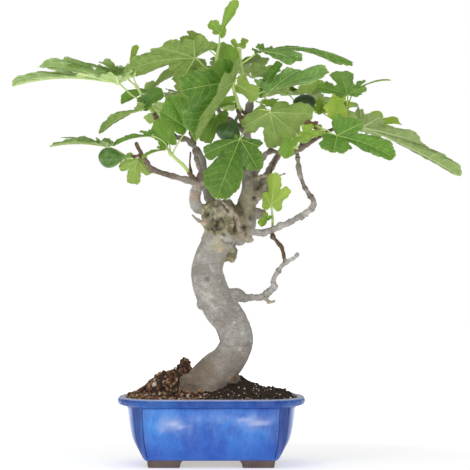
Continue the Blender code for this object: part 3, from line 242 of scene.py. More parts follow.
# Shoots: end of the woody spur, and the green stem; then for each leaf its stalk's way with the blade's tip
# last; the way its upper side faces; its shape, and where they differ from the usual its arch and two folds;
# and its look, where it differs: how young and how dried it is, its lightness and its colour's strength
SHOOT_ROWS = {
    "shoot_left_top": (
        "156 118 26 3.3, 154.5 114.5 26.5 2.8",
        "150 108 26 2.4, 143 97 25 2, 137 87 25 1.7",
        "146 102 25, 133 96 19, 118 84 14, 10 88 -12; 0 0.11 0.99; far_left 0.07 -2 30; "
        "young 0.3 tint 1.42 strength 0.78",
        "137 87 25, 129 80 34, 119 71 40, 65 59 44; 0 0.37 0.98; prong -0.03 2 2; tint 1.25 strength 0.82",
        "137 87 25, 134 79 25, 131 70 25, 138 45 20; -0.6 -0.8 0.06; tongue; young 0.6",
        "146 102 25, 149 96 30, 151 91 34, 182 71 50; 0.1 0.51 0.87; broad_tongue",
        "148 106 26, 151 100 44, 152 91 60, 121 102 66; -0.1 -0.71 0.74; broad_tongue; tint 0.8",
        "151 110 26, 149 108 22, 146 104 20, 163 91 14; -0.3 -0.99 0.26; oval; young 0 tint 0.8",
        "149 107 26, 146 108 18, 142 110 13, 100 133 -8; 0.25 0.55 0.97; tongue 0.08"),
    "shoot_top": (
        "217.5 108 30 3.6, 217 104.5 30 3",
        "216.5 90 27 2.8, 216.5 74 22 2.6, 217 57 17 2.3, 219 46 14 1.9",
        "216.5 74 22, 205 67 14, 195 58.5 6, 127 69 -20; 0 0.43 0.97; near_left 0.06 2 -24; tint 0.88",
        "217 57 17, 208 49 26, 197 41.5 32, 180 41 40; 0.2 0.57 0.76; three",
        "216.5 80 24, 206 80 20, 189.5 88 16, 187 60 32; 0.2 1.02 0.23; upright",
        "219 46 14, 219.5 40 13, 220.5 33 12, 237 1 8; -0.3 -0.98 0.29; thumb 0.04; young 0.4 tint 1.1",
        "217 60 18, 219 56 32, 221 53 40, 208 44 54; 0 -0.43 0.94; three",
        "216.5 79 23, 228 76 26, 232 66 30, 226 45 34; 0.2 -0.98 0.28; upright",
        "216.5 74 22, 238 66 10, 261 51.5 2, 353 66 -20; 0 0.08 1; high_right 0.11 2 -42",
        "216.5 84 25, 212 80 18, 210 77 14, 199 78 4; 0 -0.54 0.84; oval"),
    "shoot_middle": (
        "248 116 17 3.4, 244 112.5 9 2.8, 241.5 110 4 2.6",
        "238 104 0 2.4, 235 94 -3 2.2, 233 87 -6 1.9",
        "233 87 -6, 234 84 -9, 234.5 82 -14, 197 141 -54; 0.1 -0.99 0.25; folded 0.08 99 8; tint 0.95",
        "233 88 -6, 236 85 -8, 238 85 -10, 257 98 -18; 0.3 0.92 0.24; oval",
        "236 98 -2, 235 101 -8, 232 103 -12, 216 106 -16; 0 -0.76 0.64; oval",
        "240 107 2, 226 110 6, 216 117 6, 205 143 -2; -0.2 -0.99 0.25; three; tint 0.8"),
    "shoot_twig": (
        "250 106 17 3.4, 249 90 18 2.6, 245.5 79 18 2.2",
        "242 68 18 1.7, 240 52 18 1.3",
        "240 54 18, 238 50 14, 236 47 10, 231 40 4; 0 -0.86 0.57; oval",
        "240 54 18, 241 50 22, 242 47 26, 246 39 32; 0 -0.86 0.47; oval"),
    "shoot_right_top": (
        "248 117 17 3.6, 254 114.5 18 3, 258.5 112.5 18 2.6",
        "261 108 17 2.2, 262 103 15 1.9",
        "262 103 15, 265 98 10, 270 91 6, 328 73 -4; 0 -0.43 1.03; broad 0.05 10 4; tint 1.8 strength 0.84",
        "262 103 15, 256 101 14, 258 97 20, 260 94 26, 281 63 20; -0.5 -0.98 0.27; tongue",
        "261 106 16, 263 108 10, 267 106 5, 289 105 2; 0 -0.39 1.02; three 0.08 4 4; young 0.8",
        "261 108 16, 257 110 -4, 262 109.5 -19, 270 112 -20, 278 147 -27; -0.1 1.01 0.25; fan 0.05; "
        "tint 0.95"),
    "shoot_right": (
        "298 160 -28 2.9, 297 151 -28 2.6",
        "296.5 146 -31 2.2, 297 137 -35 1.6",
        "296.5 144 -32, 294 141 -38, 292 140 -42, 284 158 -50; 0 -0.88 0.53; oval; young 0.25",
        "297 138 -34, 301 134 -38, 304 132 -39, 318 136 -44; 0 -0.77 0.63; three; young 0.6"),
    "shoot_right_bud": (
        "319 137 6 2.6, 321 134.5 0 2, 322.5 133.5 -4 1.8",
        "325 133.5 -8 1.5, 328 133.5 -11 1.4",
        "328 133.5 -11, 332 134 -16, 337 136 -22, 394 158 -44; 0.1 -0.97 0.74; round; tint 0.95",
        "325 133.5 -8, 324 130 -12, 321 130 -14, 299 140 -22; 0 1.01 0.16; broad_tongue; young 0.5",
        "328 133.5 -11, 329 131 -21, 315 126 -25, 304 124 -28; 0 -0.99 0.25; oval; dried 1"),
    "shoot_right_end": (
        "328 131 8 2.9, 338 126.5 10 2.6",
        "342 124 10 2.2, 345 121 9 1.9, 346 115 8 1.6",
        "346 117 8, 346.5 107 8, 347.5 95 10, 339 72 46; 0 -0.55 0.84; back 0.06 8 0",
        "346 115 8, 350 100 20, 356 90 26, 391 81 34; 0 -0.18 1.01; prong",
        "346 116 8, 342 106 6, 338 99 4, 333 120 2; 0.1 -0.99 0.25; upright; young 0.95",
        "346 117 8, 346.5 108 13, 345.5 103 15, 343 104 17, 342 122 20; 0.2 -0.99 0.25; oval; young 1",
        "342 124 10, 332 119 16, 322 111 27, 318 99 30; 0 -0.98 0.36; three",
        "345 121 9, 354 123 24, 362 127 40, 458 175 16; 0 0.49 0.98; far_right 0.03 10 6; strength 0.85",
        "345 121 9, 353 119 12, 358 120 44, 362 122 90, 372 127 110, 401 124 122; 0 -0.5 0.9; three; "
        "young 0.8"),
    "shoot_left_low": (
        "197 182 -14 3.2, 192 176.5 -19 2.8, 189 172.5 -21 2.5",
        "183 165 -24 2.3, 176 159 -27 2.1, 170.5 153.5 -28 1.8",
        "170.5 153.5 -28, 164 142 -30, 151.5 136.5 -30, 114 146 -40; 0.1 -0.31 1.01; strap",
        "172 155 -28, 177 145 -32, 186 128 -34, 170 97 -22; 0.1 -0.98 0.35; upright",
        "170.5 153.5 -28, 170 148 -26, 169 143 -25, 160 118 -16; -0.3 -0.99 0.25; upright",
        "172 155 -28, 169 151 -36, 165 150 -40, 143 158 -52; 0 -0.36 1.01; strap"),
    "shoot_left_tip": (
        "141.5 155 -38 2.8, 137 156 -34 2.2, 134.5 157 -31 1.9",
        "132 158 -29 1.6, 129 158 -28 1.4",
        "129 158 -28, 118 151 -22, 107 147 -20, 51 146 -38; 0 0.09 1; low_left 0.05 0 24; "
        "young 0.2 strength 0.85",
        "132 158 -29, 134 158 -25, 137 160 -22, 133 184 -26; -0.1 1.01 0.17; three; young 0.12"),
    "shoot_low": (
        "274.5 239 -14 2.6, 272.7 233 -9 2.4, 272.6 228 -7.5 1.9",
        "272.6 218 -9 1.6, 271.5 207 -10 1.3",
        "271.5 208 -10, 271.5 206 -10, 271.5 204.5 -11, 274 173 -9; 0.2 1 0.08; half_open",
        "272.6 218 -9, 270 216 -13, 268 217 -16, 260 226 -20; -0.2 -0.9 0.41; oval; young 0.4"),
    "leaf_front": (
        "247 128 18 3.4, 247 127.5 8 2.6, 247 127.5 0 2.1",
        "246.5 128 -6 1.7, 246 129 -11 1.5",
        "246 129 -11, 244 132 -26, 240 139 -44, 217.5 198 -72; -0.1 -0.99 0.38; front 0.05; tint 0.76"),
    "shoot_rear_left": (
        "196 154 78 3.4, 191 132 98 2.8",
        "190 124 104 2.3, 191 112 108 1.8",
        "191 113 108, 192 104 120, 194 100 130, 196 108 196; 0 0.21 0.99; five; tint 0.85",
        "190 122 104, 180 118 112, 172 116 118, 150 124 168; 0.1 0.15 0.99; five",
        "191 114 108, 200 110 104, 206 108 104, 232 112 138; 0 0.15 0.99; three",
        "191 113 108, 191 104 104, 190 98 100, 176 84 92; 0.2 0.92 0.34; three"),
    "shoot_rear_right": (
        "282 150 84 3.4, 294 126 101 2.8",
        "297 118 106 2.3, 299 106 110 1.8",
        "299 107 110, 303 99 120, 306 96 130, 314 106 196; 0 0.21 0.99; five",
        "297 116 106, 308 112 112, 318 111 116, 352 122 156; 0 0.15 0.99; five",
        "299 107 110, 292 98 108, 287 95 108, 262 98 138; 0 0.26 0.99; three",
        "299 108 110, 303 100 104, 308 94 100, 324 82 84; -0.2 0.56 0.87; three"),
    "shoot_rear_top": (
        "240 116 66 3, 235.5 98 81 2.6",
        "234 90 86 2.1, 233 78 88 1.7",
        "233 79 88, 234 70 98, 236 67 108, 244 76 168; 0 0.27 0.98; five",
        "234 88 86, 222 82 92, 214 80 96, 186 88 132; 0 0.17 0.99; three; tint 0.8",
        "233 80 88, 244 76 92, 252 76 96, 280 86 126; 0 0.17 0.99; three"),
}
# How young the leaves of some shoots are
YOUNG_SHOOTS = {"shoot_low": 0.55, "shoot_twig": 0.35, "shoot_right_end": 0.1}
# Fig's outline: run along the axis and half width, as parts of its length and radius
FIG_PROFILE = table(
    "0 0.13, 0.1 0.13, 0.2 0.19, 0.33 0.42, 0.46 0.75, 0.6 0.96, 0.75 1, 0.88 0.82, 0.965 0.46, 1 0.16")

# Curve of the pot's long wall, and its rim from the neck over its top to the inner lip: inset and height
WALL_PROFILE = table("9.5 88, 12.3 90.5, 22.6 97, 37 105.3, 53 109.6, 69 112.3, 80 114")
RIM_PROFILE = table(
    "10.2 80.4, 9.4 80.9, 7 81.2, 4.2 81.9, 2 82.9, 0.7 84.4, 0.1 86.2, 0 88, 0.3 89.6, 1 91, 2.2 92, "
    "4 92.5, 7.6 92.5, 9.6 92.2, 10.6 91.5, 11 90.4")
# Painted highlights in the glaze, soft reflections of windows on the long walls: across from the pot's
# middle, level, half width, half height in mm, and strength
PAINTED_HIGHLIGHTS = table(
    "-52 60 28 15 0.5, -50 60 13 5 0.95, -39 56 8 4 0.9, -63 52 6 7 0.6, 55 63 36 11 0.5, 64 61 17 4 0.95, "
    "44 66 13 3 0.85, 56 53 30 9 0.35, 0 68 82 9 0.35")
# Heaps of the soil: across and back from the pot's middle, half width, half depth and height, in mm
HEAPS = table("-62 20 32 32 32, 26 12 43 30 29.5, -36 12 11 12 26, -12 0 36 44 10, 90 6 22 28 9")

# Colours of the soil's grains, as parts of red, green and blue in the light's own scale
SOIL_TONES = {"dust": (0.042, 0.026, 0.018), "red": (0.160, 0.070, 0.038), "tan": (0.360, 0.220, 0.120),
              "dark": (0.024, 0.017, 0.014), "brown": (0.088, 0.050, 0.031), "pale": (0.72, 0.66, 0.58)}
DUST = (*SOIL_TONES["brown"], 1.0)
# Share of each tone among the grains at the left of the pot, at its right and in the clod
SOIL_MIX = {"red": (0.33, 0.05, 0.36), "tan": (0.38, 0.06, 0.06), "dark": (0.07, 0.53, 0.30),
            "brown": (0.17, 0.23, 0.27), "pale": (0.05, 0.13, 0.01)}


def read_leaf(text):
    """Leaf from its text in SHOOT_ROWS, where parts that are left out have their usual values."""
    way, face, form, *look = text.split(";")
    *way, tip = table(way)
    shape, *bend = form.split()
    arch, *fold = [float(value) for value in bend] or (0.08,)
    words = " ".join(look).split()
    look = {name: float(value) for name, value in zip(words[::2], words[1::2])}
    return Leaf(way, tip, table(face)[0], shape, arch, fold or (12, 12), look)


SHOOTS = [Shoot(name, table(seat), table(stem), [read_leaf(leaf) for leaf in leaves])
          for name, (seat, stem, *leaves) in SHOOT_ROWS.items()]
# Figs: end of the woody spur, blossom end, radius in mm, and how much painted shade darkens it beside the
# left one
FIGS = [Fig(name, table(spur), end, radius, darkness) for name, spur, end, radius, darkness in (
    ("fig_left", "142 156 -38 2.6, 138 156 -44 2.2, 133.5 156 -48 1.9", (98.5, 157.5, -48), 13.2, 0),
    ("fig_middle", "247 122 17 3.4, 243 118 -6 2.6, 238.5 115 -22 2.2", (223.5, 140.5, -31), 16.6, 0.65),
    ("fig_right", "300 149 0 3.2, 304 138 14 2.4, 306 122 20 2", (304.5, 94.5, 17), 15.0, 1))]


def place(across, down, depth):
    """Point in space for a grid cell in front view and a depth in mm behind the pot's middle."""
    back = depth * MM
    spread = (EYE_DISTANCE + back) / EYE_DISTANCE * CELL
    return np.array((POT_X + EYE_ACROSS + (across - VIEW_MIDDLE) * spread, POT_Y + back,
                     EYE_HEIGHT + (VIEW_MIDDLE - down) * spread))


def unit(vectors):
    """Vectors of length one, along the last axis."""
    size = np.linalg.norm(vectors, axis=-1, keepdims=True)
    return vectors / np.maximum(size, 1e-12)


def smooth_path(points, steps):
    """Catmull-Rom curve through rows of numbers, with steps rows to each span."""
    rows = np.array(points, dtype=float)
    rows = np.vstack([2 * rows[0] - rows[1], rows, 2 * rows[-1] - rows[-2]])
    t = (np.arange(steps) / steps)[None, :, None]
    a, b, c, d = (rows[first:len(rows) - 3 + first, None, :] for first in range(4))
    spans = 0.5 * (2 * b + (c - a) * t + (2 * a - 5 * b + 4 * c - d) * t ** 2
                   + (3 * b - a - 3 * c + d) * t ** 3)
    return np.vstack([spans.reshape(-1, rows.shape[1]), rows[-2]])


def run_along(points):
    """Length of a path up to each of its points."""
    return np.concatenate([[0.0], np.cumsum(np.linalg.norm(np.diff(points, axis=0), axis=1))])


def limb_rows(points):
    """World position and radius in metres for each (across, down, depth, radius)."""
    return [(*place(across, down, depth), radius * MM) for across, down, depth, radius in points]


def soft_step(values, low, high):
    """Zero under low, one over high, and a smooth S between them."""
    part = np.clip((values - low) / (high - low), 0, 1)
    return part * part * (3 - 2 * part)


def bell(values, width):
    """Bell curve: e to the minus square of values over width, so one at zero."""
    return np.exp(-(values / width) ** 2)


def even_turns(sides):
    """Angles of even steps all the way round."""
    return np.arange(sides) * 2 * np.pi / sides


def lattice_noise(points, size, seed):
    """Noise between -1 and 1: seeded values on a cubic lattice, blended between a cell's eight corners."""
    values = np.random.default_rng(seed).uniform(-1, 1, (LATTICE,) * 3)
    where = points / size
    cell = np.floor(where).astype(int)
    part = soft_step(where - cell, 0, 1)
    total = np.zeros(len(points))
    for corner in np.ndindex(2, 2, 2):
        weight = np.prod(np.where(corner, part, 1 - part), axis=1)
        total += weight * values[tuple(((cell + corner) % LATTICE).T)]
    return total


def grid_quads(rows, columns, closed):
    """Quads between neighbouring rows of a grid of points; closed joins the last column to the first."""
    spans = columns if closed else columns - 1
    row, column = np.meshgrid(np.arange(rows - 1), np.arange(spans), indexing="ij")
    after = (column + 1) % columns
    quads = np.stack([row * columns + column, row * columns + after,
                      (row + 1) * columns + after, (row + 1) * columns + column], axis=-1)
    return quads.reshape(-1, 4)


def closed_skin(first, rings, last, notes=None, finish=0):
    """Skin through rings of points, shut by a point at either end; its points run from first to last."""
    count, sides = rings.shape[:2]
    column = np.arange(sides)
    after = (column + 1) % sides
    start = 1 + (count - 1) * sides
    triangles = np.vstack([np.stack([column * 0, after + 1, column + 1], axis=1),
                           np.stack([column * 0 + start + sides, start + column, start + after], axis=1)])
    points = np.vstack([first, rings.reshape(-1, 3), last])
    return Skin(points, grid_quads(count, sides, True) + 1, triangles, notes or {}, finish)


def join_skins(skins):
    """One skin from several: their points in a row, faces counted on, and notes side by side."""
    starts = np.cumsum([0] + [len(skin.points) for skin in skins[:-1]])
    faces, finish = [], []
    for kind in ("quads", "triangles"):
        own = [getattr(skin, kind) for skin in skins]
        faces.append(np.concatenate([part + start for part, start in zip(own, starts)]))
        finish += [np.full(len(part), skin.finish) for part, skin in zip(own, skins)]
    notes = {name: np.concatenate([skin.notes[name] for skin in skins]) for name in skins[0].notes}
    return Skin(np.concatenate([skin.points for skin in skins]), *faces, notes, np.concatenate(finish))


def write_points(mesh, points):
    """Puts rows of three on a mesh's points."""
    mesh.vertices.foreach_set("co", points.astype(np.float32).ravel())


def write_notes(mesh, notes):
    """Stores arrays on a mesh's points: numbers as a float attribute, rows of three as a vector."""
    for name, values in notes.items():
        vector = values.ndim == 2
        note = mesh.attributes.new(name, "FLOAT_VECTOR" if vector else "FLOAT", "POINT")
        note.data.foreach_set("vector" if vector else "value", values.astype(np.float32).ravel())


def make_mesh(name, skin):
    """Mesh of a skin, with each note as a point attribute and each face's finish as its material."""
    mesh = bpy.data.meshes.new(name)
    mesh.vertices.add(len(skin.points))
    write_points(mesh, skin.points)
    corners = np.concatenate([skin.quads.ravel(), skin.triangles.ravel()]).astype(np.int32)
    mesh.loops.add(len(corners))
    mesh.loops.foreach_set("vertex_index", corners)
    four, three = len(skin.quads), len(skin.triangles)
    mesh.polygons.add(four + three)
    starts = np.concatenate([np.arange(four) * 4, four * 4 + np.arange(three) * 3]).astype(np.int32)
    mesh.polygons.foreach_set("loop_start", starts)
    finish = np.broadcast_to(skin.finish, four + three).astype(np.int32)
    mesh.polygons.foreach_set("material_index", finish)
    mesh.update(calc_edges=True)
    write_notes(mesh, skin.notes)
    mesh.shade_smooth()
    return mesh


def new_object(name, data):
    """Object with its data, linked into the scene."""
    item = bpy.data.objects.new(name, data)
    bpy.context.scene.collection.objects.link(item)
    return item


def finished_mesh(piece, *tools):
    """Mesh of a piece after its modifiers; the piece and its tools are taken out of the scene."""
    graph = bpy.context.evaluated_depsgraph_get()
    mesh = bpy.data.meshes.new_from_object(piece.evaluated_get(graph), depsgraph=graph)
    for item in (piece, *tools):
        bpy.data.objects.remove(item, do_unlink=True)
    return mesh


def points_and_normals(mesh):
    """A mesh's points and their normals, each as rows of three."""
    found = []
    for items, field in ((mesh.vertices, "co"), (mesh.vertex_normals, "vector")):
        values = np.empty(len(items) * 3, dtype=np.float32)
        items.foreach_get(field, values)
        found.append(values.reshape(-1, 3).astype(float))
    return found


def dress(mesh, points, notes):
    """Moves a mesh's points, stores its notes and smooths it."""
    write_points(mesh, points)
    write_notes(mesh, notes)
    mesh.update()
    mesh.shade_smooth()
    return mesh


def show(name, mesh, materials, node):
    """Puts a mesh in the scene: it rides on the root body, and may stand for a node of the solids."""
    piece = new_object(name, mesh)
    mesh.materials.clear()
    for material in materials:
        mesh.materials.append(material)
    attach(piece, "root")
    if node:
        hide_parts(node)


def rings_about(centres, size, side, up):
    """Rings of points, sized by row and turn: centre + size * (cos turn * side + sin turn * up)."""
    turn = even_turns(size.shape[1])[:, None]
    return centres[:, None] + size[..., None] * (np.cos(turn) * side + np.sin(turn) * up)


def tube_skin(path, radii, sides, notes=None, finish=0):
    """Round tube along a path, closed by a low dome at either end.

    The axes across it are square to the path, and to the axis of space that the path keeps clear of.
    """
    along = unit(np.gradient(path, axis=0))
    steady = np.eye(3)[np.argmin(np.abs(along).max(axis=0))]
    side = unit(np.cross(along, steady))
    dome = np.array((0.0, 0.35, 0.62, 0.85))
    lift = 0.5 * np.sqrt(1 - dome ** 2)[:, None]
    start, end = path[0] - along[0] * radii[0] * lift, path[-1] + along[-1] * radii[-1] * lift[::-1]
    centres = np.vstack([start, path, end])
    wide = np.concatenate([radii[0] * dome, radii, radii[-1] * dome[::-1]])

    def with_domes(values):
        """Rows for the whole tube: the first and the last are repeated over the domes."""
        first, last = (np.repeat(end, len(dome), 0) for end in (values[:1], values[-1:]))
        return np.concatenate([first, values, last])

    size = np.repeat(wide[:, None], sides, axis=1)
    grid = rings_about(centres, size, with_domes(side)[:, None], with_domes(np.cross(along, side))[:, None])
    spread = {}
    for name, values in (notes or {}).items():
        row = with_domes(values)
        spread[name] = np.concatenate([row[:1], np.repeat(row[1:-1], sides, axis=0), row[-1:]])
    return closed_skin(centres[0], grid[1:-1], centres[-1], spread, finish)


def margin(shape, around):
    """Stalk-to-margin distance at each angle: lobes and base body, rounded into one outline."""
    (body,), *lobes = table(SHAPES[shape])
    power = 8
    fade = np.clip((np.abs(around) - math.radians(112)) / math.radians(42), 0, 1)
    total = (body * (1 - 0.85 * fade ** 2)) ** power
    for angle, length, half in lobes:
        swing = np.clip(1 - np.abs((around - math.radians(angle)) / math.radians(half)) ** 3, 0, 1)
        total = total + (length * swing ** 0.4) ** power
    return total ** (1 / power)


def rib_angles(shape):
    """Angle of each lobe's rib."""
    return np.radians([angle for angle, _, _ in table(SHAPES[shape])[1:]])


def leaf_frame(leaf):
    """Base point, length, and unit vectors along, across and up from the blade."""
    base = place(*leaf.way[-1])
    run = place(*leaf.tip) - base
    ahead = unit(run)
    up = np.array(leaf.face, dtype=float)
    up = unit(up - ahead * (up @ ahead))
    return base, np.linalg.norm(run), ahead, np.cross(up, ahead), up


def margin_line(shape, around):
    """Points of a leaf's margin at given angles, and their distance from the stalk."""
    reach = margin(shape, around)
    return np.stack([reach * np.cos(around), reach * np.sin(around)], axis=1), reach


def leaf_outline(shape, count, length):
    """Outline of a flat leaf: points evenly spaced along the margin, in parts of the leaf's length.

    The margin's distance from the stalk comes from margin(). Round teeth stand out square to it, each as high
    as the root of a sine over one tooth, and slower waves make no two lobes alike. Both fade out towards the
    stalk. Each lobe's tip is one of the points.
    """
    start = length * 3000
    fine = np.linspace(-BLADE_END, BLADE_END, 3000)
    run = run_along(margin_line(shape, fine)[0])
    even = np.linspace(0.0, run[-1], count)
    tips = np.interp(rib_angles(shape), fine, run)
    even[np.round(tips / run[-1] * (count - 1)).astype(int)] = tips
    line, reach = margin_line(shape, np.interp(even, run, fine))
    slope = unit(np.gradient(line, axis=0))
    outward = np.stack([slope[:, 1], -slope[:, 0]], axis=1)
    phase = even / TOOTH + 0.5 * np.sin(even * 5.0 + start)
    slow = 0.016 * np.sin(even * 13.0 + start) + 0.012 * np.sin(even * 29.0 + start * 1.7)
    tooth = TOOTH_DEPTH * (np.abs(np.sin(np.pi * phase)) ** 0.6 - 0.5)
    height = tooth * (1 + 0.5 * np.sin(even * 9.0 + start)) + slow
    return line + outward * (height * soft_step(reach, 0.12, 0.4))[:, None]


def rib_run(shape, flat):
    """Run along the nearest rib, and distance from it, for points of a flat leaf."""
    reach = np.linalg.norm(flat, axis=-1)
    turn = np.arctan2(flat[..., 1], flat[..., 0])[..., None] - rib_angles(shape)
    off = np.where(np.cos(turn) > 0, np.abs(np.sin(turn)), 2 - np.abs(np.sin(turn)))
    nearest = np.argmin(off, axis=-1)
    turn = np.take_along_axis(turn, nearest[..., None], axis=-1)[..., 0]
    return reach * np.cos(turn), reach * np.abs(np.sin(turn))


def blade_height(leaf, flat, along, length):
    """Height, and sideways shift, of a blade over its flat outline.

    The height adds up: an arch from stalk to tip, a swell that grows with the distance from the nearest rib,
    a ripple between side veins, a fine groove along each rib and waves at the margin. Each half is turned up
    about the middle rib by its fold.
    """
    lateral = flat[..., 1]
    reach = np.linalg.norm(flat, axis=-1)
    around = np.arctan2(lateral, flat[..., 0])
    run, off = rib_run(leaf.shape, flat)
    soft = 0.02
    swell = PUFF * (np.sqrt(off ** 2 + soft ** 2) - soft)
    ripple = 0.010 * (np.abs(np.sin(np.pi * SIDE_VEINS * (run - 0.75 * off))) - 0.5)
    ripple = ripple * soft_step(off, 0.0, 0.08)
    lift = swell + ripple - 0.006 * bell(off, 0.012) * (1 - along)
    turn = np.radians(np.where(lateral > 0, leaf.fold[0], leaf.fold[1]))
    sideways = lateral * np.cos(turn) - np.sign(lateral) * lift * np.sin(turn)
    height = np.abs(lateral) * np.sin(turn) + lift * np.cos(turn)
    height = height + leaf.arch * 4 * reach * (1 - reach)
    height = height + MARGIN_WAVE * along ** 2 * np.sin(7 * around + length * 900) * np.sin(around)
    height = height + 0.013 * along ** 3 * np.sin(19 * around + length * 500)
    height = height + 0.020 * along ** 2 * np.sin(9 * around + length * 1300) * soft_step(reach, 0.1, 0.5)
    return height, sideways


def blade_skin(leaf, young, tint):
    """Closed leaf blade: an upper and a lower sheet over part of the way to the margin and place along it.

    A point is base + length * (forward * ahead + sideways * side + height * up), moved out along the sheet's
    normal by half the blade's thickness, which falls from the stalk to the margin.
    """
    base, length, ahead, side, up = leaf_frame(leaf)
    count, rings = LARGE_BLADE if length > LARGE_LEAF else SMALL_BLADE
    along = np.linspace(0, 1, rings + 1)[1:] ** 0.9
    flat = along[:, None, None] * leaf_outline(leaf.shape, count, length)
    share = np.repeat(along[:, None], count, axis=1)
    height, sideways = blade_height(leaf, flat, share, length)
    axes = np.stack([flat[..., 0], sideways, height], axis=-1) * length
    sheet = base + axes @ np.stack([ahead, side, up])
    normal = unit(np.cross(np.gradient(sheet, axis=0), np.gradient(sheet, axis=1)))
    thick = (0.36 - 0.22 * share[..., None]) * MM / 2
    run, off = rib_run(leaf.shape, flat)
    ridge = 0.35 * MM * bell(off, 0.014) * (1 - share) ** 0.7
    upper = np.vstack([base + up * thick[0, 0], (sheet + normal * thick).reshape(-1, 3)])
    lower = np.vstack([base - up * thick[0, 0], (sheet - normal * (thick + ridge[..., None])).reshape(-1, 3)])
    half = len(upper)
    quads = grid_quads(rings, count, False)[:, ::-1] + 1
    column = np.arange(count - 1)
    fan = np.stack([column * 0, column + 1, column + 2], axis=1)
    left = 1 + np.arange(rings) * count
    tips = 1 + (rings - 1) * count + np.arange(1, count)
    edge = np.concatenate([[0], left, tips, (left + count - 1)[:-1][::-1]])
    after = np.roll(edge, -1)
    wall = np.stack([edge, edge + half, after + half, after], axis=1)
    rib = np.vstack([np.zeros((1, 3)), np.stack([run, off, share], axis=-1).reshape(-1, 3)])
    look = np.tile((0.0, young, leaf.look.get("dried", 0.0)), (2 * half, 1))
    look[half:, 0] = 1.0
    tints = np.tile((tint, leaf.look.get("strength", 1.0), 0.0), (2 * half, 1))
    notes = {"rib": np.vstack([rib, rib]), "look": look, "tint": tints}
    return Skin(np.vstack([upper, lower]), np.vstack([quads, quads[:, ::-1] + half, wall]),
                np.vstack([fan, fan[:, ::-1] + half]), notes)


def green_tube(path, radii, sides, young, woody):
    """Tube of a stalk or stem, which notes its run from foot to end, how young it is and how woody."""
    part = np.linspace(0, 1, len(path))
    look = np.stack([part, np.full(len(part), young), woody], axis=1)
    notes = {"rib": np.zeros((len(part), 3)), "look": look, "tint": np.ones((len(part), 3))}
    return tube_skin(path, radii, sides, notes, finish=1)


def stem_rows(shoot):
    """Rows of a green stem that starts a gap beyond the flat end of its woody spur."""
    spur = np.array(limb_rows(shoot.seat))
    ahead = unit(spur[-1, :3] - spur[-2, :3])
    radius = spur[-1, 3] * 0.92
    rows = [(*(spur[-1, :3] + ahead * reach), radius) for reach in (GAP, GAP + SEAT_RUN)]
    return rows + limb_rows(shoot.stem)


def stalk_skin(leaf, stem, young):
    """Leaf stalk: from the stem, swollen at its foot, into the blade's notch and on under the middle rib."""
    base, length, ahead, _, up = leaf_frame(leaf)
    way = [place(*point) for point in leaf.way]
    path = smooth_path(stem, 8)[:, :3]
    start = path[np.argmin(((path - way[0]) ** 2).sum(axis=1))]
    under = base + ahead * min(0.05 * length, 3 * MM) - up * 0.35 * MM
    route = smooth_path(np.vstack([start, *way[1:-1], base - ahead * STALK_NECK, base, under]), 7)
    part = np.linspace(0, 1, len(route))
    size = np.interp(length, (20 * MM, 90 * MM), (0.8 * MM, 1.15 * MM))
    radii = size * (1.0 + 0.55 * bell(part, 0.07) - 0.3 * soft_step(part, 0.85, 1.0))
    return green_tube(route, radii, STALK_SIDES, young, np.zeros(len(route)))


def stem_skin(shoot, stem):
    """Green stem: a tube with a raised ring at each leaf's foot, ending in a pointed bud."""
    route = smooth_path(stem, 10)
    along = unit(route[-1, :3] - route[-4, :3])
    bud = table("1 1.15, 2.4 1.1, 4 0.7, 5.2 0.3")
    tips = [(*(route[-1, :3] + along * reach * MM), route[-1, 3] * wide) for reach, wide in bud]
    route = np.vstack([route, tips])
    path, radii = route[:, :3], route[:, 3].copy()
    for leaf in shoot.leaves:
        near = ((path - place(*leaf.way[0])) ** 2).sum(axis=1)
        radii = radii * (1 + 0.22 * np.exp(-near / (1.6 * MM) ** 2))
    woody = 1 - soft_step(np.linspace(0, 1, len(path)), 0.0, 0.35)
    return green_tube(path, radii, STEM_SIDES, 0.3, woody)


def shoot_mesh(shoot, number):
    """One leafy shoot as a single mesh: stem, stalks and blades, each leaf with its own tint and age."""
    chance = np.random.default_rng(100 + number)
    stem = stem_rows(shoot)
    skins = [stem_skin(shoot, stem)]
    for leaf in shoot.leaves:
        small = np.clip((50 * MM - leaf_frame(leaf)[1]) / (60 * MM), 0, 0.3)
        young = min(1.0, leaf.look.get("young", small + YOUNG_SHOOTS.get(shoot.name, 0.0)))
        skins.append(stalk_skin(leaf, stem, young))
        tint = chance.uniform(0.92, 1.08) * leaf.look.get("tint", 1.0)
        skins.append(blade_skin(leaf, young, tint))
    mesh = make_mesh(shoot.name + "_leafy", join_skins(skins))
    mesh.set_sharp_from_angle(angle=math.radians(LEAF_EDGE))
    return mesh


def fig_spur_rows(fig):
    """Rows of the woody spur that holds a fig, ending square to the fig's axis."""
    rows = limb_rows(fig.spur)
    last = np.array(rows[-1][:3])
    ahead = unit(place(*fig.end) - last)
    return rows + [(*(last + ahead * SEAT_RUN), rows[-1][3])]


def wood_limbs():
    """Every limb as its name, rows of (x, y, z, radius), and kind of bark."""
    limbs = []
    for name, text in LIMBS.items():
        kind = DEAD if name in DEAD_LIMBS else GREY if name in GREY_LIMBS else YOUNG
        limbs.append((name, limb_rows(table(text)), kind))
    limbs += [(shoot.name, limb_rows(shoot.seat), YOUNG) for shoot in SHOOTS]
    return limbs + [(fig.name, fig_spur_rows(fig), YOUNG) for fig in FIGS]


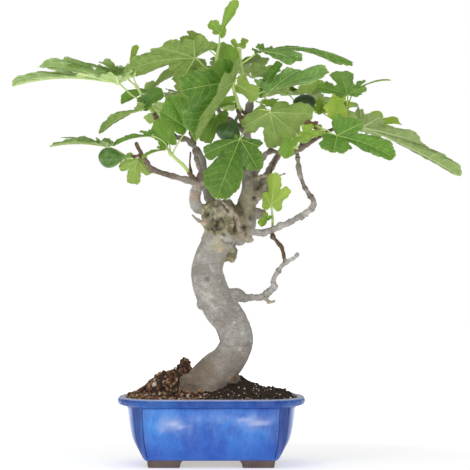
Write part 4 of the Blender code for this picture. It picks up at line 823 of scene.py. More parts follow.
def ball_skin(centre, half):
    """Lump of wood: a ball over turn and rise, stretched to its half sizes, with two crossed waves on it."""
    rise, turn = np.meshgrid(np.linspace(-np.pi / 2, np.pi / 2, 19), even_turns(28), indexing="ij")
    ball = np.stack([np.cos(rise) * np.cos(turn), np.cos(rise) * np.sin(turn), np.sin(rise)], axis=-1)
    x, y, z = ball[..., 0], ball[..., 1], ball[..., 2]
    lump = 1 + 0.07 * np.sin(5 * x + 2) * np.sin(4 * z + 1) + 0.05 * np.sin(7 * y + 3 * z)
    grid = place(*centre) + ball * np.array(half) * MM * lump[..., None]
    return closed_skin(grid[0, 0], grid[1:-1], grid[-1, 0])


def grown_together(name, skins, cube):
    """One closed mesh from several skins that overlap: remeshed in cubes of one size, then evened out."""
    piece = new_object(name, make_mesh(name, join_skins(skins)))
    remesh = piece.modifiers.new("grown", "REMESH")
    remesh.mode = "VOXEL"
    remesh.voxel_size = cube
    evened = piece.modifiers.new("evened", "SMOOTH")
    evened.factor = 0.5
    evened.iterations = 3
    return finished_mesh(piece)


def nearest_limb(points, limbs):
    """For each point: the kind, radius and run along the limb whose skin is nearest."""
    paths = [smooth_path(rows, 3) for _, rows, _ in limbs]
    kinds = np.concatenate([np.full(len(path), kind) for path, (_, _, kind) in zip(paths, limbs)])
    run = np.concatenate([run_along(path[:, :3]) for path in paths])
    centres = np.vstack(paths).astype(np.float32)
    found = []
    for part in np.array_split(points.astype(np.float32), 40):
        gap = np.linalg.norm(part[:, None] - centres[None, :, :3], axis=2) - centres[None, :, 3]
        found.append(np.argmin(gap, axis=1))
    found = np.concatenate(found)
    return kinds[found], centres[found, 3].astype(float), run[found]


def front_cells(points):
    """The cell of the front view, across and down, in which a point is seen."""
    spread = (EYE_DISTANCE + points[:, 1] - POT_Y) / EYE_DISTANCE * CELL
    return np.stack([(points[:, 0] - POT_X - EYE_ACROSS) / spread + VIEW_MIDDLE,
                     VIEW_MIDDLE - (points[:, 2] - EYE_HEIGHT) / spread], axis=1)


def crown_share(points):
    """How far each point lies inside the swollen crown, from zero to one."""
    crown = np.zeros(len(points))
    for name in ("crown_burl", "old_wound", "side_swell"):
        centre, half = table(BURLS[name])
        off = (points - place(*centre)) / (np.array(half) * MM)
        crown = np.maximum(crown, 1 - soft_step(np.linalg.norm(off, axis=1), 1.05, 1.4))
    return crown


def crown_knobs(points, crown):
    """Height in mm of round knobs of three sizes, at seeded points of the crown, and the hollows between."""
    on_crown = np.flatnonzero(crown > 0)
    chance = np.random.default_rng(8)
    gnarl = np.zeros(len(points))
    for count, wide, tall in ((34, 6.5, 2.6), (80, 3.6, 1.9), (220, 1.9, 0.9)):
        knobs = points[chance.choice(on_crown, count, replace=False)]
        reach = np.linalg.norm(points[on_crown, None] - knobs[None], axis=2)
        gnarl[on_crown] += tall * (np.max(bell(reach, wide * MM), axis=1) - 0.45) * crown[on_crown]
    return gnarl


def wood_relief(points, normals, kinds, radii, run):
    """Height to add to the wood, and its notes, for every point.

    Old bark has broad swells, fine level wrinkles and a grain. Young wood has a raised ring every few mm,
    and dead wood has grooves along it. The crown has round knobs, with painted shade in the hollows between
    them and a painted highlight on their tops. Cracks and wounds sink in where they cross the front, and get
    painted shade.
    """
    def rough(size, seed, stretch=(1.0, 1.0, 1.0)):
        """Noise of a grain size in mm, with the points first scaled along each axis."""
        return lattice_noise(points * stretch, size * MM, seed)

    level, upright = (1.0, 1.0, 3.2), (1.0, 1.0, 0.3)
    dead = kinds == DEAD
    height = 0.45 * MM * rough(13, 1) * np.clip(radii / (12 * MM), 0.3, 1)
    height += np.where(kinds == GREY, 0.20, 0.08) * MM * (1 - np.abs(rough(9, 2, level)) * 2)
    height += 0.12 * MM * rough(2.6, 3)
    ring = 8.0 * MM
    off_ring = np.mod(run + 3.0 * MM * rough(26, 4), ring) - ring / 2
    rings = bell(off_ring, 1.2 * MM) * (0.65 + 0.5 * rough(14, 9))
    thin = 1 - soft_step(radii, 5.5 * MM, 10 * MM)
    thick = soft_step(radii, 1.0 * MM, 3.4 * MM)
    height += (0.06 + 1.45 * thin * thick) * MM * rings
    height += 1.7 * thin * thick * MM * rough(6, 10)
    height += 0.16 * MM * rough(3.4, 11) * (radii > 7 * MM)
    height += np.where(dead, 0.55, 0.0) * MM * rough(2.4, 5, upright)
    crown = crown_share(points)
    gnarl = crown_knobs(points, crown)
    height += gnarl * MM

    cells = front_cells(points)
    facing = soft_step(-normals[:, 1], 0.0, 0.35)
    dark = 0.20 * rough(20, 6) + 0.12 * rough(5, 7, level) + thin * (0.42 * rings + 0.24 * rough(9, 12))
    orange = np.zeros(len(points))
    green = 0.8 * crown + 0.25 * soft_step(points[:, 2], 0.36, 0.40) * (radii > 7 * MM)
    # Each crack sinks in and gets painted shade along it.
    for text in CRACKS:
        (half, deep, shade), *way = table(text)
        gap = np.min(np.linalg.norm(cells[:, None] - smooth_path(way, 8)[None], axis=2), axis=1)
        line = bell(gap, half) * facing
        height -= deep * MM * line
        dark = dark + shade * line
    # Each hollow sinks in, with a raised rim, and gets painted shade inside.
    for across, down, reach, deep in HOLLOWS:
        off = np.linalg.norm(cells - (across, down), axis=1) / reach
        hollow = bell(off, 1) * facing
        height -= deep * MM * (hollow - 0.5 * bell(off - 1.9, 0.7) * facing)
        dark = dark + 0.8 * hollow
    for across, down, reach, shade, warm, olive in MARKS:
        off = np.linalg.norm(cells - (across, down), axis=1)
        spot = (1 - soft_step(off, reach * 0.55, reach * 1.15)) * facing
        dark, orange, green = dark + shade * spot, orange + warm * spot, green + olive * spot
    base = 1 - soft_step(points[:, 2] + 0.012 * rough(16, 13), 0.106, 0.170)
    orange = orange + 0.35 * base
    # Painted shade in the hollows between the crown's knobs and a painted highlight on their tops; the foot
    # near the soil is darker and more orange.
    dark = dark + 0.34 * base + 0.42 * soft_step(-gnarl, 0.2, 1.6) - 0.40 * soft_step(gnarl, 0.3, 2.0)
    brown = np.where(kinds == YOUNG, 1 - soft_step(radii, 2.4 * MM, 4.8 * MM) * 0.75, 0.0)
    return height, {"bark": np.stack([np.clip(green, 0, 1), brown, np.clip(orange, 0, 1)], axis=1),
                    "dark": np.clip(dark, -0.4, 1), "dead": dead.astype(float)}


def wood_mesh(cube):
    """Trunk, branches, spurs and burls, grown together and given their bark's relief."""
    limbs = wood_limbs()
    skins = []
    for name, rows, _ in limbs:
        path = smooth_path(rows, 6)
        skins.append(tube_skin(path[:, :3], path[:, 3], TRUNK_SIDES if name in THICK_LIMBS else LIMB_SIDES))
    skins += [ball_skin(*table(text)) for text in BURLS.values()]
    mesh = grown_together("wood", skins, cube)
    points, normals = points_and_normals(mesh)
    height, notes = wood_relief(points, normals, *nearest_limb(points, limbs))
    return dress(mesh, points + normals * height[:, None], notes)


def fig_mesh(fig):
    """Fig: its profile turned round the axis, with shallow ribs, a dimple and scales at the blossom end.

    Radius at (along, turn) is the profile's, times one plus ten low waves round it that fade at both ends.
    """
    foot = np.array(fig_spur_rows(fig)[-1][:3])
    foot = foot + unit(place(*fig.end) - foot) * GAP
    axis = place(*fig.end) - foot
    dimple = table("1.004 0.12, 1 0.085, 0.985 0.05, 0.975 0")
    along, radius = np.vstack([(0.0, 0.0), smooth_path(FIG_PROFILE, 6), dimple]).T
    turn = even_turns(FIG_SIDES)
    belly = soft_step(along, 0.15, 0.5) * (1 - soft_step(along, 0.9, 1.0))
    rib = np.cos(10 * turn + 0.6 * np.sin(3 * turn))
    scale = bell(along - 0.995, 0.012)[:, None] * np.abs(np.sin(2.5 * turn))
    size = radius[:, None] * (1 + 0.016 * belly[:, None] * rib + 0.2 * scale) * fig.radius * MM
    lean = 0.03 * np.sin(along * np.pi)
    ahead = unit(axis)
    side = unit(np.cross(ahead, (0.0, 1.0, 0.0)))
    centres = foot + along[:, None] * axis + side * (lean * np.linalg.norm(axis))[:, None]
    grid = rings_about(centres, size, side, np.cross(ahead, side))
    part = np.repeat(along[1:-1], FIG_SIDES)
    ribbed = np.tile(rib, len(along) - 2) * np.repeat(belly[1:-1], FIG_SIDES)
    note = np.stack([part, ribbed, part * 0 + fig.darkness], axis=1)
    note = np.vstack([(0, 0, fig.darkness), note, (1, 0, fig.darkness)])
    return make_mesh(fig.name + "_fruit", closed_skin(centres[0], grid[1:-1], centres[-1], {"fig": note}))


def pot_outline(half, near, groove, depth):
    """Rectangle whose corners are quarter ellipses, with an upright groove on each side of every corner.

    The ellipse starts at near and ends at half. A quarter runs from the middle of the end wall over the
    corner to the middle of the long wall, and is mirrored for the others. A groove's depth is a squared
    cosine.
    """
    half, near = np.array(half), np.array(near)
    size = half - near
    split = near + size * np.sqrt(0.5)
    middle = np.minimum(groove, split - GROOVE_SPACE * GROOVE_HALF)
    dip = np.linspace(-1, 1, 7)
    rows = []
    for axis, other in ((1, 0), (0, 1)):
        start, end = middle[axis] - GROOVE_HALF, middle[axis] + GROOVE_HALF
        places = np.concatenate([np.linspace(0, start, 12)[:-1], middle[axis] + GROOVE_HALF * dip,
                                 np.linspace(end, split[axis], 7)[1:]])
        sunk = np.concatenate([np.zeros(11), depth * np.cos(dip * np.pi / 2) ** 2, np.zeros(6)])
        bend = np.clip((places - near[axis]) / size[axis], 0, 1)
        rows.append((places, near[other] + size[other] * np.sqrt(1 - bend ** 2) - sunk))
    end_wall, long_wall = np.column_stack(rows[0][::-1]), np.column_stack(rows[1])
    quarter = np.vstack([end_wall, long_wall[::-1][1:]])
    half_ring = np.vstack([quarter, quarter[1:-1][::-1] * (-1, 1)])
    other = np.vstack([[(-half[0], 0.0)], quarter[1:] * (-1, -1), quarter[1:-1][::-1] * (1, -1)])
    return np.vstack([half_ring, other])


def pot_section(z):
    """Outer wall at a height, along a smooth curve: half sizes, corner starts and groove places."""
    curve = smooth_path(np.array(WALL_PROFILE) * MM, 6)
    length = np.interp(z, curve[:, 0], curve[:, 1])
    rise = np.asarray((length - BASE_HALF[0]) / (BODY_HALF[0] - BASE_HALF[0]))[..., None]
    ends = ((BASE_HALF, BODY_HALF), (CORNER_FOOT, CORNER_TOP), (GROOVE_FOOT, GROOVE_TOP))
    return [np.array(low) + (np.array(high) - low) * rise for low, high in ends]


def wall_ring(z, inset=0.0):
    """One level of the outer wall, or of its rounded lower edge, smaller by inset and with no groove."""
    half, near, groove = pot_section(z)
    return pot_outline(half - inset, near - inset, groove, 0.0 if inset else GROOVE_DEPTH)


def inner_ring(z, inset):
    """One level of the plain inner wall, inset from the outer one."""
    inner = pot_section(z)[0] - inset
    return pot_outline(inner, inner * INNER_CORNER, inner, 0.0)


def rim_ring(inset):
    """One level of the rim, smaller all round by inset."""
    depth = 1.3 * MM * (1 - soft_step(inset, 7 * MM, RIM_LIP))
    return pot_outline(np.array(RIM_HALF) - inset, RIM_CORNER, GROOVE_TOP, depth)


def rim_margin(places):
    """How far places seen from above lie in from the rim's outline: the ellipse's value over its slope."""
    size = np.array(RIM_HALF) - RIM_CORNER
    part = np.clip(np.abs(places) - RIM_CORNER, 0, None) / size
    reach = np.maximum(np.hypot(part[:, 0], part[:, 1]), 1e-6)
    slope = np.hypot(*(part / reach[:, None] / size).T)
    return (1 - reach) / np.maximum(slope, 1.0)


def ringed_skin(rings):
    """Closed skin through rings of (outline, height), shut by a point at the first and the last level."""
    levels = np.array([np.column_stack([outline, np.broadcast_to(z, len(outline))]) for outline, z in rings])
    first, last = ((0.0, 0.0, np.mean(level[:, 2])) for level in (levels[0], levels[-1]))
    return closed_skin(first, levels, last)


def foot_skin(sign_x, sign_y):
    """Corner foot: an upright outline with a hollow curve at its inner end, drawn across the pot's depth."""
    top, low = POT_BASE + 2 * MM, 1.2 * MM
    outer_x, outer_y = BASE_HALF[0] - 2.5 * MM, BASE_HALF[1] - 1.0 * MM
    inner = outer_x - FOOT_LENGTH + FOOT_TAPER
    turn = np.radians(np.linspace(0, 90, 9))
    curve = np.stack([inner - FOOT_TAPER * (1 - np.cos(turn)), low + (top - low) * np.sin(turn)], axis=1)
    sole = [(outer_x, top), (outer_x - 1.5 * MM, low), (outer_x - 2.6 * MM, 0.0), (inner + 1.2 * MM, 0.0)]
    line = np.vstack([sole, curve])
    depths = np.array((0.0, 0.6, 1.6, 3.2)) * MM
    across = np.concatenate([outer_y - depths, outer_y - FOOT_WIDTH + depths[::-1]])
    shrink = np.array((1.2, 0.35, 0.0, 0.0, 0.0, 0.0, 0.35, 1.2)) * MM
    middle = line.mean(axis=0)
    rows = []
    for y, less in zip(across, shrink):
        drawn = line + unit(middle - line) * less * (line[:, 1:] < top - 1 * MM)
        rows.append(np.column_stack([drawn[:, 0] * sign_x, np.full(len(line), y * sign_y), drawn[:, 1]]))
    skin = closed_skin(rows[0].mean(axis=0), np.array(rows), rows[-1].mean(axis=0))
    if sign_x * sign_y > 0:
        skin = skin._replace(quads=skin.quads[:, ::-1], triangles=skin.triangles[:, ::-1])
    return skin


def hole_skin(x):
    """Cutter for a drain hole: an upright round tube."""
    path = np.column_stack([np.full(4, x), np.zeros(4), np.linspace(0.0, FLOOR_TOP + 5 * MM, 4)])
    return tube_skin(path, np.full(4, HOLE_RADIUS), HOLE_SIDES)


def cut_and_join(base, joins, cuts):
    """Mesh of a skin with others joined to it or cut from it by Booleans."""
    piece = new_object("base", make_mesh("base", base))
    tools = []
    for operation, skins in (("UNION", joins), ("DIFFERENCE", cuts)):
        for skin in skins:
            tools.append(new_object("tool", make_mesh("tool", skin)))
            change = piece.modifiers.new("change", "BOOLEAN")
            change.operation = operation
            change.solver = "MANIFOLD"
            change.object = tools[-1]
    return finished_mesh(piece, *tools)


def pot_notes(points, normals):
    """Where the clay is bare, the glaze worn or pooled, highlights and shade painted, and the inside dusty.
    """
    x, y, z = points.T
    inward = (points[:, :2] * normals[:, :2]).sum(axis=1) < -0.3 * np.linalg.norm(points[:, :2], axis=1)
    inside = (inward | ((normals[:, 2] > 0.5) & (z < 30 * MM))).astype(float)
    inset = rim_margin(points[:, :2])
    on_rim, on_wall = z > 84 * MM, z < WALL_TOP
    bare = np.where(on_rim, soft_step(inset, 10.2 * MM, 11.4 * MM), inside)
    bare = np.maximum(bare, 1 - soft_step(z, POT_BASE - 0.2 * MM, POT_BASE + 1.6 * MM))
    dusty = np.where(on_rim, soft_step(inset, 9.5 * MM, 11.0 * MM), inside)
    worn = 1.1 * bell(z - 91.7 * MM, 1.0 * MM) + 0.4 * bell(z - 82.2 * MM, 0.8 * MM)
    worn = np.clip(worn + 0.25 * bell(z - 12 * MM, 3 * MM), 0, 1) * (z > 10 * MM)
    # Painted highlights: soft reflections of windows on the long walls, and a band along the rim's top where
    # it faces up.
    painted_highlight = np.zeros(len(points))
    for across, level, wide, high, share in PAINTED_HIGHLIGHTS:
        off = np.hypot((x / MM - across) / wide, (z / MM - level) / high)
        painted_highlight = np.maximum(painted_highlight, share * bell(off, 1))
    upper = (z > 88 * MM) * soft_step(normals[:, 2], 0.5, 0.95)
    painted_highlight = np.maximum(painted_highlight * (np.abs(normals[:, 1]) > 0.6), 1.1 * upper)
    # Painted shade on the turned-away corner columns, under the rim and on the rim's outer face; darker
    # pooled glaze in the grooves.
    column = soft_step(np.abs(x), 86 * MM, 97 * MM) * soft_step(np.abs(y), 40 * MM, 62 * MM)
    deep = np.maximum(0.9 * column * on_wall, bell(z - 80.8 * MM, 1.1 * MM))
    deep = np.maximum(deep, 0.7 * ((z > 82 * MM) & (z < 90 * MM)))
    beside = bell(np.abs(points[:, :2]) - pot_section(z)[2], 1.5 * MM)
    groove = (beside * (np.abs(normals[:, 1::-1]) > 0.55)).max(axis=1)
    deep = np.maximum(deep, groove * (z > 14 * MM) * on_wall)
    return {"bare": bare, "worn": worn, "dusty": dusty, "painted_highlight": painted_highlight, "deep": deep}


def pot_mesh():
    """Glazed pot: base, curved wall, rolled rim, inner wall and floor, four feet, two holes."""
    edge = ((POT_BASE, 6.0), (POT_BASE, 1.4), (POT_BASE + 0.35 * MM, 0.5))
    rings = [(wall_ring(z, inset * MM), z) for z, inset in edge]
    rings += [(wall_ring(z), z) for z in (POT_BASE + 1.2 * MM, *np.linspace(12 * MM, WALL_TOP, 24))]
    rings += [(rim_ring(inset * MM), z * MM) for inset, z in RIM_PROFILE]
    rings += [(inner_ring(z, WALL), z) for z in (*np.linspace(78 * MM, 34 * MM, 7), 24 * MM)]
    rings.append((inner_ring(FLOOR_TOP, WALL + FLOOR_COVE), FLOOR_TOP))
    mesh = cut_and_join(ringed_skin(rings), [foot_skin(x, y) for x in (-1, 1) for y in (-1, 1)],
                        [hole_skin(x) for x in (-HOLE_X, HOLE_X)])
    points, normals = points_and_normals(mesh)
    dress(mesh, points + (POT_X, POT_Y, 0.0), pot_notes(points, normals))
    mesh.set_sharp_from_angle(angle=math.radians(POT_EDGE))
    return mesh


def screen_mesh(name, x):
    """Woven drain screen: crossed wires, each a thin tube that waves over and under the others."""
    reach = SCREEN_SIDE / 2 - WIRE_RADIUS
    spots = np.linspace(-reach, reach, SCREEN_WIRES)
    part = np.linspace(-reach, reach, SCREEN_WIRES * 6)
    middle = FLOOR_TOP + GAP + SCREEN_THICK / 2
    skins = []
    for number, spot in enumerate(spots):
        wave = 0.2 * MM * np.cos(np.pi * ((part + reach) / (spots[1] - spots[0]) + number))
        still = np.full(len(part), spot)
        for across, back, lift in ((part, still, middle + wave), (still, part, middle - wave)):
            path = np.column_stack([POT_X + x + across, POT_Y + back, lift])
            skins.append(tube_skin(path, np.full(len(part), WIRE_RADIUS), WIRE_SIDES))
    return make_mesh(name, join_skins(skins))


def soil_height(x, y):
    """Soil level at points in metres from the pot's middle: heaps, and a grainy relief of crossed waves."""
    across, back = x / MM, y / MM
    level = np.full_like(across, SOIL_EDGE)
    for middle_x, middle_y, wide, deep, high in HEAPS:
        level = level + high * np.exp(-((across - middle_x) / wide) ** 2 - ((back - middle_y) / deep) ** 2)
    grain = (np.sin(across * 0.61 + 1.3) * np.sin(back * 0.53 + 0.4)
             + np.sin(across * 0.27 - back * 0.33 + 2.0) * 0.8)
    return (level + grain * 1.1) * MM


def soil_bed_mesh():
    """Soil in the pot: sides that follow the inner wall, and a top of rings that shrink to the middle."""
    fit = 0.99
    rings = [(inner_ring(FLOOR_TOP, WALL + FLOOR_COVE) * fit, FLOOR_TOP + GAP + SCREEN_THICK + 1 * MM)]
    rings += [(inner_ring(z, WALL) * fit, z) for z in np.linspace(34 * MM, 78 * MM, 5)]
    edge = rim_ring(RIM_LIP) * (fit - 0.006)
    rings.append((edge, SOIL_SIDE))
    for reach in np.linspace(0.985, 0.012, 52):
        spread = edge * reach
        flat = np.column_stack([spread, np.zeros(len(spread))])
        rough = 0.9 * MM * lattice_noise(flat, 5 * MM, 21) + 0.6 * MM * lattice_noise(flat, 2.2 * MM, 22)
        level = soil_height(*spread.T) + rough
        rings.append((spread, SOIL_SIDE + (level - SOIL_SIDE) * soft_step(1 - reach, 0.0, 0.05)))
    skin = ringed_skin(rings)
    tint = np.tile(SOIL_TONES["dust"], (len(skin.points), 1))
    points = skin.points + (POT_X, POT_Y, 0.0)
    return make_mesh("soil_bed", skin._replace(points=points, notes={"tint": tint}))


def icosahedron():
    """Twelve points and twenty faces of a regular solid of radius one."""
    golden = (1 + 5 ** 0.5) / 2
    points = np.array([(-1, golden, 0), (1, golden, 0), (-1, -golden, 0), (1, -golden, 0), (0, -1, golden),
                       (0, 1, golden), (0, -1, -golden), (0, 1, -golden), (golden, 0, -1), (golden, 0, 1),
                       (-golden, 0, -1), (-golden, 0, 1)])
    faces = table("0 11 5, 0 5 1, 0 1 7, 0 7 10, 0 10 11, 1 5 9, 5 11 4, 11 10 2, 10 7 6, 7 1 8, "
                  "3 9 4, 3 4 2, 3 2 6, 3 6 8, 3 8 9, 4 9 5, 2 4 11, 6 2 10, 8 6 7, 9 8 1")
    return unit(points), np.array(faces, dtype=int)


def soil_grains_mesh(sizes):
    """Loose grains on the soil: seeded places and sizes, each a stretched, turned twenty-faced lump.

    Grains are coarse at the left and fine at the right, and more of them lie on the clod.
    """
    chance = np.random.default_rng(31)
    limit = np.array(RIM_HALF) - RIM_LIP - 2.5 * MM
    spots = chance.uniform(-1, 1, (sizes.grain_count, 2)) * limit
    spots = spots[rim_margin(spots) > RIM_LIP + 2.5 * MM]
    loose = len(spots)
    clod = np.array((-36.0, 9.0)) * MM + chance.normal(0, 1, (300, 2)) * np.array((9.5, 8.0)) * MM
    spots = np.vstack([spots, np.clip(clod, -limit, limit)])
    count = len(spots)
    waver = 6 * MM * lattice_noise(np.column_stack([spots, spots[:, :1] * 0]), 20 * MM, 33)
    left = 1 - soft_step(spots[:, 0] + waver, -14 * MM, 6 * MM)
    size = sizes.fine_grain + (sizes.coarse_grain - sizes.fine_grain) * left
    size = np.clip(size * chance.lognormal(0.0, 0.38, count), 0.5 * MM, 3.6 * MM)
    height = soil_height(*spots.T) + size * chance.uniform(-0.35, 0.45, count)
    in_clod = np.arange(count) >= loose
    height = np.where(in_clod, height + chance.uniform(-5, 1.0, count) * MM, height)
    body, faces = icosahedron()
    stretch = chance.uniform(0.6, 1.35, (count, 1, 3))
    turns = np.linalg.qr(chance.normal(0, 1, (count, 3, 3)))[0]
    turns[:, :, 0] *= np.sign(np.linalg.det(turns))[:, None]
    lumps = body[None] * stretch * chance.uniform(0.82, 1.18, (count, 12, 1))
    lumps = np.einsum("nij,nkj->nki", turns, lumps) * size[:, None, None]
    centres = np.column_stack([spots[:, 0] + POT_X, spots[:, 1] + POT_Y, height])
    points = (centres[:, None] + lumps).reshape(-1, 3)
    triangles = (faces[None] + np.arange(count)[:, None, None] * 12).reshape(-1, 3)
    left_mix, right_mix, clod_mix = np.array(list(SOIL_MIX.values())).T
    odds = left_mix * left[:, None] + right_mix * (1 - left[:, None])
    odds[in_clod] = clod_mix
    draw = chance.uniform(0, 1, (count, 1)) * odds.sum(axis=1)[:, None]
    pick = (np.cumsum(odds, axis=1) < draw).sum(axis=1)
    tones = np.array([SOIL_TONES[name] for name in SOIL_MIX])[np.clip(pick, 0, len(SOIL_MIX) - 1)]
    notes = {"tint": np.repeat(tones * chance.uniform(0.7, 1.3, (count, 1)), 12, axis=0)}
    mesh = make_mesh("soil_grains", Skin(points, np.zeros((0, 4), dtype=int), triangles, notes))
    mesh.set_sharp_from_angle(angle=math.radians(GRAIN_EDGE))
    return mesh


class Wiring:
    """Short calls that add nodes to a tree and join them. A source is a socket, a number or a colour."""

    def __init__(self, tree):
        self.tree = tree

    def feed(self, socket, source):
        """A socket takes its value from a source."""
        if isinstance(source, bpy.types.NodeSocket):
            self.tree.links.new(source, socket)
        else:
            socket.default_value = source

    def join(self, sockets, **sources):
        """Sockets by name, with an underline for a space, take their values from sources."""
        for label, source in sources.items():
            self.feed(sockets[label.replace("_", " ")], source)

    def add(self, kind, feeds=(), **options):
        """New node with its sources, and its options set."""
        node = self.tree.nodes.new("ShaderNode" + kind)
        for option, value in options.items():
            setattr(node, option, value)
        for socket, source in feeds:
            self.feed(node.inputs[socket], source)
        return node

    def number(self, operation, *sources):
        return self.add("Math", enumerate(sources), operation=operation).outputs[0]

    def times(self, first, second):
        return self.number("MULTIPLY", first, second)

    def plus(self, first, second):
        return self.number("ADD", first, second)

    def line(self, value, slope, start):
        """Value times slope, plus start."""
        return self.number("MULTIPLY_ADD", value, slope, start)

    def rest(self, share):
        """One less a share."""
        return self.number("SUBTRACT", 1.0, share)

    def step(self, value, low, high, least=0.0, most=1.0):
        """Smooth step from least at low to most at high."""
        feeds = enumerate((value, low, high, least, most))
        return self.add("MapRange", feeds, interpolation_type="SMOOTHSTEP").outputs[0]

    def blend(self, share, first, second, mode="MIX"):
        feeds = ((0, share), (6, first), (7, second))
        return self.add("Mix", feeds, data_type="RGBA", blend_type=mode).outputs[2]

    def cover(self, colour, *layers):
        """Colour under layers, each a mask, how much of it covers and its own colour."""
        for mask, share, layer in layers:
            colour = self.blend(self.times(mask, share), colour, layer)
        return colour

    def shaded(self, colour, shade):
        """Colour times a number."""
        grey = self.add("CombineColor", enumerate((shade, shade, shade))).outputs[0]
        return self.blend(1.0, colour, grey, "MULTIPLY")

    def noise(self, spot, scale, detail=3.0, roughness=0.55):
        feeds = (("Vector", spot), ("Scale", scale), ("Detail", detail), ("Roughness", roughness))
        return self.add("TexNoise", feeds).outputs["Fac"]

    def cells(self, spot, scale, feature="F1"):
        feeds = (("Vector", spot), ("Scale", scale))
        return self.add("TexVoronoi", feeds, feature=feature).outputs["Distance"]

    def scaled(self, spot, size):
        return self.add("Mapping", (("Vector", spot), ("Scale", size))).outputs[0]

    def note(self, name, output="Fac"):
        return self.add("Attribute", attribute_name=name).outputs[output]

    def parts(self, vector):
        return self.add("SeparateXYZ", ((0, vector),)).outputs

    def spot(self):
        return self.add("TexCoord").outputs["Object"]

    def bump(self, height, distance, strength):
        feeds = (("Height", height), ("Distance", distance), ("Strength", strength))
        return self.add("Bump", feeds).outputs[0]

    def group(self, builder, **feeds):
        """Outputs of the node group of a builder, which is made on its first use."""
        node = self.tree.nodes.new("ShaderNodeGroup")
        node.node_tree = bpy.data.node_groups.get(builder.__name__) or builder()
        self.join(node.inputs, **feeds)
        return node.outputs


def new_group(name, takes, gives):
    """Node group with its wiring, its inputs by name, each with its default, and its outputs by name."""
    tree = bpy.data.node_groups.new(name, "ShaderNodeTree")
    for label, value in takes.items():
        kind = "Vector" if value is None else "Float"
        socket = tree.interface.new_socket(label, in_out="INPUT", socket_type="NodeSocket" + kind)
        if value is not None:
            socket.default_value = value
    for label in gives:
        tree.interface.new_socket(label, in_out="OUTPUT", socket_type="NodeSocketFloat")
    return Wiring(tree), tree.nodes.new("NodeGroupInput").outputs, tree.nodes.new("NodeGroupOutput").inputs


def mottle():
    """Broad clouds and fine grain of one surface, as two shares and a height for bump."""
    takes = {"Spot": None, "Broad": 60.0, "Fine": 400.0}
    work, given, out = new_group("mottle", takes, ("Clouds", "Grain", "Height"))
    clouds = work.noise(given["Spot"], given["Broad"], 4.0, 0.6)
    grain = work.noise(given["Spot"], given["Fine"], 3.0, 0.6)
    work.join(out, Clouds=work.step(clouds, 0.34, 0.68), Grain=work.step(grain, 0.3, 0.7),
              Height=work.plus(work.times(clouds, 0.5), grain))
    return work.tree


def speckle():
    """Small round dots scattered by cells, each kept or dropped by a slower noise."""
    takes = {"Spot": None, "Scale": 500.0, "Size": 0.25, "Share": 0.5}
    work, given, out = new_group("speckle", takes, ("Dots",))
    dots = work.cells(given["Spot"], given["Scale"])
    inside = work.rest(work.step(dots, work.times(given["Size"], 0.6), given["Size"]))
    slower = work.noise(given["Spot"], work.times(given["Scale"], 0.35), 1.0)
    level = work.rest(given["Share"])
    kept = work.step(slower, work.plus(level, -0.05), work.plus(level, 0.05))
    work.join(out, Dots=work.times(inside, kept))
    return work.tree


def leaf_veins():
    """Veins, from the run along the nearest rib, the distance from it and the share of the way to the margin.

    The ribs taper to the margin. Side veins are even lines that lean forward from the rib, and between them
    runs a net along the edges of small cells.
    """
    work, given, out = new_group("leaf_veins", {"Rib": None}, ("Ribs", "Sides", "Net", "Height"))
    run, off, share = work.parts(given["Rib"])[:3]
    width = work.line(share, -0.0085, 0.0125)
    ribs = work.rest(work.step(off, work.times(width, 0.35), width))
    waver = work.times(work.noise(given["Rib"], 9.0, 1.0), 0.10)
    phase = work.times(work.plus(work.line(off, -0.75, run), waver), SIDE_VEINS)
    near = work.number("ABSOLUTE", work.plus(work.number("FRACT", phase), -0.5))
    fade = work.rest(work.step(share, 0.8, 1.0, 0.0, 0.6))
    sides = work.times(work.rest(work.step(near, 0.012, 0.055)), fade)
    net = work.rest(work.step(work.cells(given["Rib"], 34.0, "DISTANCE_TO_EDGE"), 0.02, 0.12))
    height = work.plus(work.line(sides, 0.5, ribs), work.times(net, 0.14))
    work.join(out, Ribs=ribs, Sides=sides, Net=net, Height=height)
    return work.tree


def new_material(name, **sockets):
    """Material with its wiring and the sockets of its shader, on which the plain values are set."""
    material = bpy.data.materials.new(name)
    material.use_nodes = True
    work, shader = Wiring(material.node_tree), material.node_tree.nodes["Principled BSDF"].inputs
    work.join(shader, **sockets)
    return material, work, shader


